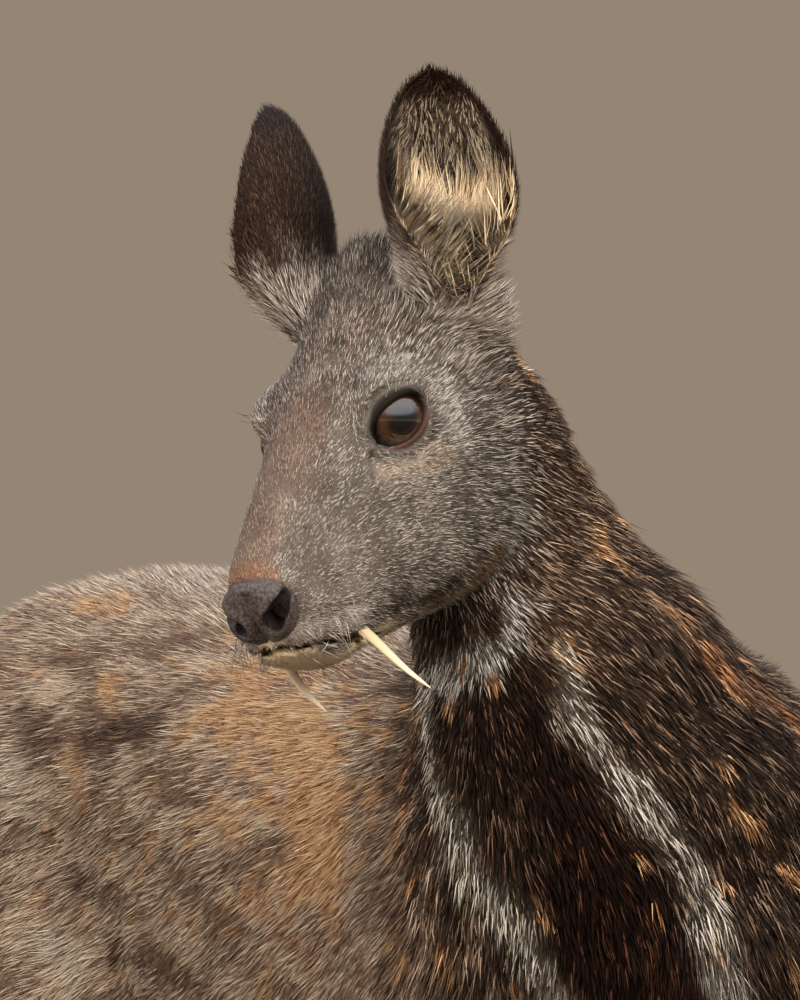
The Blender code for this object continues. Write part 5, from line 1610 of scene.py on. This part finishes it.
@dataclass
class Eyes:
    """Eyeballs with a raised cornea, each in its ring of lids."""

    animal: Animal
    ball: Finish = Iris("eye", "eye", 0.12, 0.1, 0.9)
    rim: Finish = DarkSkin("lid_skin", "face_coat", 0.6, 0.2)
    cornea: tuple[float, float] = (0.55, 0.95)
    pupil: tuple[float, float] = (0.62, 0.36)
    skirt: tuple = ((0, 0.05), (0.12, 0.05), (0.26, 0.02), (0.42, -0.06), (0.6, -0.16))
    tints: tuple = ((30, 23, 19), (72, 54, 48), (98, 68, 60))

    def placed(self, own: Array, side: int) -> Array:
        """Places of the eye's own axes in the body's, on one side."""
        eye = self.animal.head.eye
        return self.animal.head.to_body((np.array(eye.centre) + own @ eye.axes.T) * (1, side, 1))

    def eyeball(self, node: str, side: int, stock: Stock) -> None:
        """A ball whose radius swells to the cornea: the further of it and a smaller ball set forward."""
        rows, columns = 72, 64
        polar = np.linspace(0, np.pi, rows)[:, None]
        angle = np.arange(columns)[None] * 2 * np.pi / columns
        ahead, bulge = self.cornea
        radius = self.animal.head.eye.radius
        inside = np.maximum(bulge**2 - (ahead * np.sin(polar)) ** 2, 0)
        far = np.maximum(radius, (ahead * np.cos(polar) + np.sqrt(inside)) * (polar < 1.2))
        own = np.stack([far * np.cos(polar) + 0 * angle, far * np.sin(polar) * np.cos(angle),
                        far * np.sin(polar) * np.sin(angle)], -1).reshape(-1, 3)
        faces = grid_faces(rows, columns)[:, ::side]
        piece = add_piece(node + "_ball", self.placed(own, side), faces, self.animal.shift)
        weld(piece)
        mesh = np.empty(len(piece.data.vertices) * 3, np.float32)
        piece.data.vertices.foreach_get("co", mesh)
        back = self.animal.head.to_own((mesh.reshape(-1, 3) - self.animal.shift) / CM) * (1, side, 1)
        own = (back - np.array(self.animal.head.eye.centre)) @ self.animal.head.eye.axes
        aside = np.arctan2(np.hypot(own[:, 1], own[:, 2]), own[:, 0])
        set_attribute(piece, "gaze", np.clip(aside / 1.05, 0, 1))
        hole = np.hypot(own[:, 1] / self.pupil[0], own[:, 2] / self.pupil[1]) * 0.5
        set_attribute(piece, "pupil", np.clip(hole * (own[:, 0] > 0) + (own[:, 0] <= 0), 0, 1))
        stock.dress(piece, self.ball, node)

    def lids(self, name: str, side: int, stock: Stock) -> None:
        """A ring of lids round an almond opening, with a corner drawn forward and down.

        From a rim R on the ball each ray rises on the curve R (1 - t)^2 + 2 C t (1 - t) + S t^2, over a crest
        C to a place S on the skin, and then follows the skin outwards, less and less above it.
        """
        eye, around = self.animal.head.eye, 128
        a = np.arange(around) * 2 * np.pi / around
        corner = np.exp(-(((a - 3.5 + np.pi) % (2 * np.pi) - np.pi) / 0.2) ** 2)
        upper = smooth(-0.35, 0.45, np.sin(a))
        long, high = eye.slit
        y, z = (long + 0.4 * corner) * np.cos(a), high * np.sin(a) * (1 - 0.06 * np.cos(a)) - 0.06 * corner
        x = np.sqrt(np.maximum((eye.radius + 0.02) ** 2 - y**2 - z**2, 0.2))
        to_ball = eye.axes.T @ eye.lid_axes
        rim, out = np.stack([x, y, z], 1), unit(np.stack([0 * a, np.cos(a) / long, np.sin(a) / high], 1))
        ahead = np.array([1.0, 0, 0])
        wide = (0.15 + 0.15 * upper)[:, None]
        rows = [self.placed((rim * 0.93 + out * 0.03) @ to_ball.T, side), self.placed(rim @ to_ball.T, side)]
        skirt = []
        for reach, rise in self.skirt:
            place = self.placed((rim + out * (wide + reach) + ahead * (0.1 - reach * 0.3)) @ to_ball.T, side)
            for _ in range(3):
                place, normal = settled(self.animal.skin, place, 0.2)
            skirt.append(place + normal * (rise + 0.03 * upper * (reach < 0.2))[:, None])
        raised = ahead * (0.16 + 0.12 * upper)[:, None]
        crest = self.placed((rim + out * wide * 0.5 + raised) @ to_ball.T, side)
        for t in (0.12, 0.3, 0.5, 0.75):
            rows.append(rows[1] * (1 - t) ** 2 + crest * 2 * t * (1 - t) + skirt[0] * t**2)
        places, deep = np.concatenate(rows + skirt), len(rows) + len(skirt)
        piece = add_piece(name, places, grid_faces(deep, around)[:, ::-side], self.animal.shift)
        above, below, duct = (linear(tint) for tint in self.tints)
        bare = below + (above - below) * upper[:, None]
        bare = bare + (duct - bare) * corner[:, None]
        haired = np.repeat(np.r_[np.zeros(len(rows)), 0.25, np.ones(len(skirt) - 1)], around)[:, None]
        coat = self.animal.tones(places)
        coat = (coat[:, :3] * 0.75 + coat[:, 3:6] * 0.25) * 0.4
        tint = np.tile(bare, (deep, 1)) * (1 - haired) + coat * haired
        tint[:around] *= 0.3
        set_colour(piece, tint)
        stock.dress(piece, self.rim)

    def build(self, stock: Stock) -> None:
        """Makes both eyes and their lids."""
        for side, word in SIDES:
            self.eyeball(f"eye_{word}", side, stock)
            self.lids(f"eyelids_{word}", side, stock)


def weld(piece: Thing) -> None:
    """Merges points that lie on each other, as at the poles of a grid."""
    form = bmesh.new()
    form.from_mesh(piece.data)
    bmesh.ops.remove_doubles(form, verts=form.verts, dist=1e-6)
    form.to_mesh(piece.data)
    form.free()


@dataclass
class Ears:
    """Two cups of even thickness round their axes, with short hair outside and long pale hair inside."""

    animal: Animal
    finish: Finish = Hide("ear_hide", "ear_coat", 0.7, 0.2)
    hair: Finish = Fur("ear_fur", "ear_coat", 0.6, 0.35)
    base: Place = (-5.4, 3.3, 2.2)
    tip: Place = (-9.7, 4.35, 10.55)
    opens: tuple = ((1, (0.42, 0.88, 0.2)), (-1, (0.22, 0.95, 0.15)))
    thick: float = 0.2
    inset: float = 0.12
    root: float = 1.75
    combs: tuple = field(default_factory=lambda: tuple(Waves(0.7, seed) for seed in (21, 22, 23)))
    profile: tuple = ((0, 1.5, 150), (0.13, 1.75, 138), (0.28, 2.3, 112), (0.45, 2.85, 92),
                      (0.62, 2.85, 80), (0.78, 2.35, 72), (0.9, 1.6, 64), (0.97, 0.85, 58), (1, 0.3, 50))

    def frame(self, side: int) -> tuple[Array, Array, Array, float]:
        """The left ear's own directions (along it, the way it opens, across) and its length."""
        base, tip = np.array(self.base), np.array(self.tip)
        long = float(np.linalg.norm(tip - base))
        along = (tip - base) / long
        opens = np.array(dict(self.opens)[side])
        opens = unit(opens - along * (opens @ along))
        return along, opens, np.cross(along, opens), long

    def surface(self, t: Array, turn: Array, deep: Array, side: int) -> Array:
        """Places on the cup: axis(t) + across R sin(a) - opens R cos(a), with R less the depth into the wall.

        Args:
            t: shares of the length.
            turn: angle as a share of the wrap, -1 to 1.
            deep: centimetres inside the outer face.
            side: 1 for the left ear, -1 for the right.

        Returns:
            Places in the body's axes.
        """
        along, opens, across, long = self.frame(side)
        width, wrap = (values.reshape(t.shape) for values in Curves(self.profile)(t.ravel()))
        width, wrap = width - self.inset * np.minimum(1, 4 * (1 - t)), np.radians(wrap)
        middle_radius = width / np.sin(np.minimum(wrap, np.pi / 2))
        rise = 0.32 * np.sin(np.pi * t) + middle_radius - np.maximum(0.62 * width, self.root * (1 - t))
        reach = (middle_radius - deep)[..., None]
        angle = (turn * wrap)[..., None]
        own = (np.array(self.base) + along * (long * (t - 0.012))[..., None] + opens * rise[..., None]
               + across * np.sin(angle) * reach - opens * np.cos(angle) * reach)
        return self.animal.head.to_body(own * (1, side, 1))

    def shell(self, side: int) -> tuple[Array, Array, Array, Array, Array]:
        """The cup's closed wall: at each share of its length, a ring of angles and depths round its edge."""
        rows, half = 44, 24
        edge = np.linspace(0, np.pi, 6)[1:-1]
        turn = np.r_[np.linspace(-1, 1, half), 1 + 0.02 * np.sin(edge), np.linspace(1, -1, half),
                     -1 - 0.02 * np.sin(edge)]
        deep = np.r_[np.zeros(half), (1 - np.cos(edge)) / 2, np.ones(half), (1 + np.cos(edge)) / 2]
        t = 1 - (1 - np.linspace(0, 1, rows)) ** 1.35
        thick = self.thick * (1 - 0.45 * t)
        thick[-1] = 0.02
        t2, turn2 = np.meshgrid(t, turn, indexing="ij")
        places = self.surface(t2, turn2, thick[:, None] * deep[None], side)
        faces = grid_faces(rows, len(turn))[:, ::-side]
        return places.reshape(-1, 3), faces, t2.ravel(), np.tile(deep, rows), turn2.ravel()

    def tones(self, t: Array, deep: Array, turn: Array, places: Array) -> Array:
        """Tone rows: dark outside and at the edge, grizzled at the root, and inside grey with a pale base."""
        made = np.tile(tone_row(Tone.EAR_BACK), (len(t), 1))
        wander = self.animal.ragged(places)
        for tone, weight in ((Tone.EAR_ROOT, smooth(0.42, 0.12, t + 0.06 * wander)),
                             (Tone.EAR_INSIDE, smooth(0.4, 0.6, deep)),
                             (Tone.EAR_PALE, smooth(0.4, 0.6, deep) * smooth(0.52, 0.3, t + 0.08 * wander)),
                             (Tone.EAR_EDGE, smooth(0.82, 0.95, np.abs(turn)) * smooth(0.35, 0.55, t)),
                             (Tone.EAR_EDGE, smooth(0.8, 0.92, t))):
            made += (tone_row(tone) - made) * weight[:, None]
        return made

    def build(self, stock: Stock) -> None:
        """Makes both ears and their hair."""
        for side, word in SIDES:
            places, faces, t, deep, turn = self.shell(side)
            piece = add_piece(f"ear_{word}_cup", places, faces, self.animal.shift)
            tones = self.tones(t, deep, turn, places)
            set_colour(piece, tones[:, :3] * 0.7 + tones[:, 3:6] * 0.12)
            stock.dress(piece, self.finish, f"ear_{word}")
            self.fur(side, word, places, faces, t, deep, turn, stock)

    def fur(self, side: int, word: str, places: Array, faces: Array, t: Array, deep: Array, turn: Array,
            stock: Stock) -> None:
        """Short hair over the outside and the edge, and long pale locks up the inside."""
        along, opens, across, _ = self.frame(side)
        to_world = self.animal.head.axes
        up, out = to_world @ (along * (1, side, 1)), to_world @ (opens * (1, side, 1))
        wide = to_world @ (across * (1, side, 1))
        normals = np.zeros_like(places)
        corner = places[faces]
        face_normal = np.cross(corner[:, 2] - corner[:, 0], corner[:, 3] - corner[:, 1])
        for k in range(4):
            np.add.at(normals, faces[:, k], face_normal)
        normals = unit(normals)
        tris = halves(faces)
        mid = [v[tris].mean(1) for v in (t, deep, turn)]
        for inside in (False, True):
            scatter = Scatter(40 + side + 10 * inside)
            cover = (mid[1] > 0.5) if inside else (mid[1] <= 0.5)
            thin = (40 + 90 * smooth(0.6, 0.25, mid[0])) if inside else 140.0
            density = cover * thin * (mid[0] > 0.02)
            place, normal = scatter.over(places, normals, tris, density * np.ones(len(tris)))
            near = nearest_rows(place, places)
            tt, aa, dd = t[near], turn[near], deep[near]
            count, draw = len(place), scatter.draw
            tones = self.tones(tt, dd, aa, place)
            comb = np.column_stack([wave(place) for wave in self.combs])
            if inside:
                low, inwards = smooth(0.42, 0.12, tt), aa * (0.3 + 0.5 * smooth(0.45, 0.1, tt))
                flow = up + (0.35 + 0.8 * low)[:, None] * out - wide * inwards[:, None] + 0.35 * comb
                length = 0.5 + 2.4 * smooth(0.8, 0.15, tt + 0.12 * comb[:, 0])
                length = length * draw.uniform(0.7, 1.2, count) * (1.0 if side == 1 else 0.45)
                lift = 20 + 18 * np.abs(aa) + 22 * low + 8 * comb[:, 1]
                width, cut = np.full(count, 0.07), Cut.LOCK
            else:
                flow = up + wide * (aa * 0.25)[:, None] + 0.1 * comb
                length = (0.42 + 0.6 * smooth(0.4, 0.05, tt)) * draw.uniform(0.7, 1.2, count)
                lift = np.full(count, 24.0) + 8 * smooth(0.4, 0.1, tt)
                width, cut = np.full(count, 0.05), Cut.SPIKE
            flow = flow + draw.normal(0, 0.08, (count, 3))
            roots = Roots(place, normal, flow, length, width * draw.uniform(0.8, 1.2, count),
                          lift + draw.normal(0, 5, count), tones)
            name = f"coat_ear_{word}_" + ("inside" if inside else "outside")
            for piece in Tufts(cut, draw).build(name, roots, np.column_stack([tt, aa]), self.animal.shift):
                stock.dress(piece, self.hair)


def nearest_rows(place: Array, places: Array) -> Array:
    """For each place, the row of the nearest of some others, found in chunks."""
    made = np.empty(len(place), int)
    square = (places**2).sum(1)
    for start in range(0, len(place), CHUNK):
        part = place[start:start + CHUNK]
        made[start:start + CHUNK] = np.argmin(square - 2 * part @ places.T, axis=1)
    return made


@dataclass
class Tusks:
    """The long upper canines: flattened, curved back and drawn to a point."""

    animal: Animal
    finish: Finish = Ivory("ivory", "ivory", 0.3, 0.5, 0.2)
    path: tuple = ((6, 1.8, -5.5), (5.7, 2.1, -6.2), (5.35, 2.34, -7.3), (4.92, 2.5, -8.4),
                   (4.28, 2.6, -9.55))
    ahead: tuple = ((1, 0), (-1, 0.35))
    long: float = 0.33
    thin: float = 0.17
    turn: float = 12.0

    def build(self, stock: Stock) -> None:
        """Carries an ellipse, which shrinks as (1 - t)^0.62, along the curve of the path."""
        rows, columns = 48, 24
        t = np.linspace(0, 1, rows)
        table = Curves([(k, *place) for k, place in enumerate(self.path)])
        middle = table(t * (len(self.path) - 1)).T
        along = unit(np.gradient(middle, axis=0))
        front = unit(np.cross(np.array([0.0, 1, 0]), along))
        aside = np.cross(along, front)
        size = (1 - t) ** 0.62 + 0.012
        a = (np.arange(columns) * 2 * np.pi / columns)[None, :, None]
        c, s = math.cos(math.radians(self.turn)), math.sin(math.radians(self.turn))
        wide, flat = (front * c - aside * s) * self.long, (aside * c + front * s) * self.thin
        ring = middle[:, None] + (np.cos(a) * wide[:, None] + np.sin(a) * flat[:, None]) * size[:, None, None]
        for side, word in SIDES:
            own = ring.reshape(-1, 3) + np.array([dict(self.ahead)[side], 0, 0])
            places = self.animal.head.to_body(own * (1, side, 1))
            faces = grid_faces(rows, columns)[:, ::-side]
            piece = add_piece(f"tusk_{word}_tooth", places, faces, self.animal.shift)
            set_attribute(piece, "along", np.repeat(t, columns))
            stock.dress(piece, self.finish, f"tusk_{word}")


@dataclass
class Feet:
    """Two narrow pointed hooves and two long dewclaws on each foot."""

    animal: Animal
    finish: Finish = Horn("horn", "horn", 0.5, 0.4)
    soles: tuple = (("foreleg", 3.6, 6.5), ("hindleg", -37.6, 7))
    apart: float = 0.72
    hoof: tuple = (4.1, 1.25, 3)
    levels: tuple = ((0, 0.96, 0.92), (0.03, 1, 1.02), (0.15, 0.985, 1.04), (0.4, 0.86, 1),
                     (0.7, 0.68, 0.92), (1, 0.5, 0.8))
    claw: tuple = ((0, -3.9, 0.42, 0.3), (0.7, -3.75, 0.62, 0.42), (2, -3.4, 0.72, 0.46),
                   (4.4, -2.6, 0.6, 0.42))

    def ring(self, count: int = 40) -> Array:
        """Angles round a hoof, as a column for each."""
        return np.arange(count) * 2 * np.pi / count

    def closed(self, rings: Array) -> tuple[Array, Array]:
        """A tube of rings with a middle place added at each end, as places and quads."""
        rows, columns = rings.shape[:2]
        places = np.concatenate([np.repeat(rings[:1].mean(1, keepdims=True), columns, 1), rings,
                                 np.repeat(rings[-1:].mean(1, keepdims=True), columns, 1)])
        return places.reshape(-1, 3), grid_faces(rows + 2, columns)

    def toe(self, foot: float, aside: float) -> tuple[Array, Array]:
        """A hoof: rings x = cos a, y = sin a (1 - x^1.5 / 2), smaller and further back as they rise."""
        length, width, height = self.hoof
        t = np.linspace(0, 1, 26) ** 1.3
        long, wide = Curves(self.levels)(t)
        a = self.ring()
        x = np.cos(a)
        y = np.sin(a) * (1 - 0.5 * np.maximum(x, 0) ** 1.5)
        rings = np.stack([x * length / 2 * long[:, None] - ((1 - long) * length * 0.42)[:, None] + foot,
                          y * width / 2 * wide[:, None] + aside, (t * height)[:, None] + 0 * x], -1)
        return self.closed(rings)

    def spur(self, foot: float, aside: float) -> tuple[Array, Array]:
        """A dewclaw: ellipses that lean forward as they rise into the foot."""
        z = np.linspace(0, self.claw[-1][0], 22)
        x, long, wide = Curves(self.claw)(z)
        a = self.ring(24)
        rings = np.stack([np.cos(a) * long[:, None] + (foot + x)[:, None], np.sin(a) * wide[:, None] + aside,
                          z[:, None] + 0 * a], -1)
        return self.closed(rings)

    def build(self, stock: Stock) -> None:
        """Makes all the feet."""
        for leg, along, across in self.soles:
            for side, word in SIDES:
                for share, where in ((1, "outer"), (-1, "inner")):
                    toe = self.toe(along, side * (across + share * self.apart))
                    spur = self.spur(along, side * (across + share * (self.apart + 0.2)))
                    for part, (places, faces) in (("hoof", toe), ("claw", spur)):
                        name = f"{leg}_{word}_{part}_{where}"
                        piece = add_piece(name + "_horn", places, faces, self.animal.shift)
                        weld(piece)
                        stock.dress(piece, self.finish, name)


@dataclass
class Whiskers:
    """Long single hairs on the lips, chin and brows."""

    animal: Animal
    finish: Finish = Fur("whisker", "face_coat", 0.5, 0.4)
    groups: tuple = (
        ((7.2, 1.9, -4.7), (0.5, 1, -0.7), 26, 0.9, 2),
        ((8.3, 0.9, -5), (0.8, 0.5, -0.9), 12, 0.4, 1),
        ((6.6, 0.7, -6.7), (0.2, 0.3, -1), 12, 0.6, 1.4),
        ((0.2, 3.3, 1.3), (0.3, 0.8, 0.8), 5, 0.5, 1),
        ((3, 3, -3), (0.1, 1, -0.4), 3, 0.8, 1.6),
    )

    def build(self, stock: Stock) -> None:
        """Roots each group round its place, on the head's form, and draws the hairs along its direction."""
        draw = np.random.default_rng(SEED + 77)
        head = self.animal.head
        places, flows, lengths = [], [], []
        for place, flow, count, short, long in self.groups:
            for side in (1, -1):
                spread = np.array(place) + draw.normal(0, 1, (count, 3)) * (0.6, 0.2, 0.25)
                places.append(spread * (1, side, 1))
                flows.append(unit(np.array(flow) + draw.normal(0, 0.22, (count, 3))) * (1, side, 1))
                lengths.append(draw.uniform(short, long, count))
        own, flow = np.concatenate(places), np.concatenate(flows)
        for _ in range(3):
            own, normal = settled(head.solid, own, 0.5)
        to_world = head.axes.T
        count = len(own)
        tone = np.tile(tone_row(Tone.WHISKER), (count, 1))
        roots = Roots(head.to_body(own), normal @ to_world, flow @ to_world, np.concatenate(lengths),
                      np.full(count, 0.03), 30 + draw.normal(0, 8, count), tone)
        chart = np.column_stack([own[:, 0], np.arctan2(own[:, 1], own[:, 2] + 2.5)])
        for piece in Tufts(Cut.LOCK, draw, flat=0.8).build("whiskers", roots, chart, self.animal.shift):
            stock.dress(piece, self.finish)


@dataclass
class Stage:
    """The floor, soft lights, a sky and the camera of the photograph."""

    animal: Animal
    floor: Finish = Plain("floor", "", 0.9, 0.2)
    azimuth: float = 57.0
    far: float = 5.0
    scale: float = 25.54
    head_pixel: tuple[float, float] = (335.2, 434.6)
    size: tuple[int, int] = (800, 1000)
    film: float = 36.0
    ground: tuple[float, int, float] = (8.0, 9, -0.0005)
    lamps: tuple = (
        ("lamp_key", (1.4, 1.3, 2), 1.3, 115, (1, 0.94, 0.85)),
        ("lamp_fill", (-1.9, 0.5, 1.9), 1.7, 95, (1, 0.95, 0.88)),
        ("lamp_back", (-0.7, 1.5, -1.6), 1.2, 34, (1, 0.96, 0.9)),
    )
    heavens: tuple = ((0, (0.05, 0.04, 0.03)), (0.455, (0.1, 0.08, 0.06)), (0.475, (0.3, 0.235, 0.175)),
                      (0.53, (0.3, 0.235, 0.175)), (0.56, (0.12, 0.1, 0.08)), (0.66, (0.2, 0.19, 0.17)),
                      (0.76, (0.95, 1, 1.06)), (1, (1.15, 1.22, 1.32)))

    def axes(self) -> tuple[Array, Array]:
        """The way from the subject to the camera, and the camera's right."""
        a = math.radians(self.azimuth)
        return np.array([math.sin(a), -math.cos(a), 0]), np.array([math.cos(a), math.sin(a), 0])

    def head(self) -> Array:
        """The middle of the head in the frame's axes, in metres."""
        return np.array(self.animal.head.centre) * CM + self.animal.shift

    def camera(self) -> None:
        """A long lens level with the head, aimed so that the head's middle falls on its pixel."""
        back, right = self.axes()
        x, y = (s / 2 - p for s, p in zip(self.size, self.head_pixel))
        aim = self.head() + right * x / self.scale * CM - np.array([0, 0, 1]) * y / self.scale * CM
        data = bpy.data.cameras.new("camera")
        made = in_scene("camera", data)
        bpy.context.scene.camera = made
        data.sensor_width = self.film
        data.lens = self.scale / CM * self.far / max(self.size) * data.sensor_width
        data.clip_end = 100.0
        made.location = aim + back * self.far
        made.rotation_euler = (math.pi / 2, 0, math.radians(self.azimuth))

    def light(self, name: str, place: Place, size: float, power: float, colour: Place) -> None:
        """A square lamp given right, up and toward the camera from the head in metres, aimed at the head."""
        back, right = self.axes()
        data = bpy.data.lights.new(name, "AREA")
        data.size, data.energy, data.color = size, power, colour
        made = in_scene(name, data)
        offset = right * place[0] + np.array([0, 0, 1.0]) * place[1] + back * place[2]
        made.location = self.head() + offset
        made.visible_glossy = False
        z = unit(offset)
        x = unit(np.cross(np.array([0, 0, 1.0]), z))
        turn = np.stack([x, np.cross(z, x), z], 1)
        made.rotation_euler = Matrix(turn.tolist()).to_euler()

    def sky(self) -> None:
        """Light from all round: dark below, dim and even at the horizon, bright and bluish above."""
        world = bpy.data.worlds.new("sky")
        bpy.context.scene.world = world
        graph = Graph(world, "Background")
        way = graph.add("ShaderNodeTexCoord").outputs["Generated"]
        up = graph.add("ShaderNodeSeparateXYZ", None, {0: way}).outputs["Z"]
        share = graph.add("ShaderNodeMath", {"operation": "MULTIPLY_ADD"}, {0: up, 1: 0.5, 2: 0.5}).outputs[0]
        tint = graph.add("ShaderNodeValToRGB", {"stops": self.heavens}, {"Fac": share}).outputs[0]
        graph.link(graph.shader, {"Color": tint})

    def build(self) -> None:
        """Makes the camera, lights, sky and floor."""
        self.camera()
        bpy.context.scene.view_settings.view_transform = "Standard"
        for lamp in self.lamps:
            self.light(*lamp)
        self.sky()
        side, rows, height = self.ground
        x, y = np.meshgrid(np.linspace(-side, side, rows), np.linspace(-side, side, rows), indexing="ij")
        places = np.stack([x, y, np.full_like(x, height)], -1).reshape(-1, 3) / CM
        floor = add_piece("floor", places, grid_faces(rows, rows, False), np.zeros(3))
        floor.data.materials.append(self.floor.make())
        floor.visible_glossy = False


def frame_shift(feet: Feet) -> Array:
    """Metres from the animal's axes to the frame's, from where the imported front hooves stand."""
    (low, high), (other_low, other_high) = (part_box(f"foreleg_{word}_hoof_outer") for _, word in SIDES)
    toe = (feet.soles[0][1] + feet.hoof[0] / 2) * CM
    return np.array([high[0] - toe, (low[1] + high[1] + other_low[1] + other_high[1]) / 4, low[2]])


def main() -> None:
    """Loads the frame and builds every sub-assembly in order."""
    logging.basicConfig(level=logging.INFO, format="%(message)s")
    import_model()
    head, body = Head(), Body()
    animal = Animal(head, body, frame_shift(Feet(None)))
    log.info("shift to the frame: %s", np.round(animal.shift, 5).tolist())
    stock = Stock()
    Stage(animal).build()
    skin = Skin(animal)
    skin.build(stock)
    Coat(animal, skin).build(stock)
    for part in (Nose, Eyes, Ears, Tusks, Feet, Whiskers):
        part(animal).build(stock)


if __name__ == "__main__":
    main()
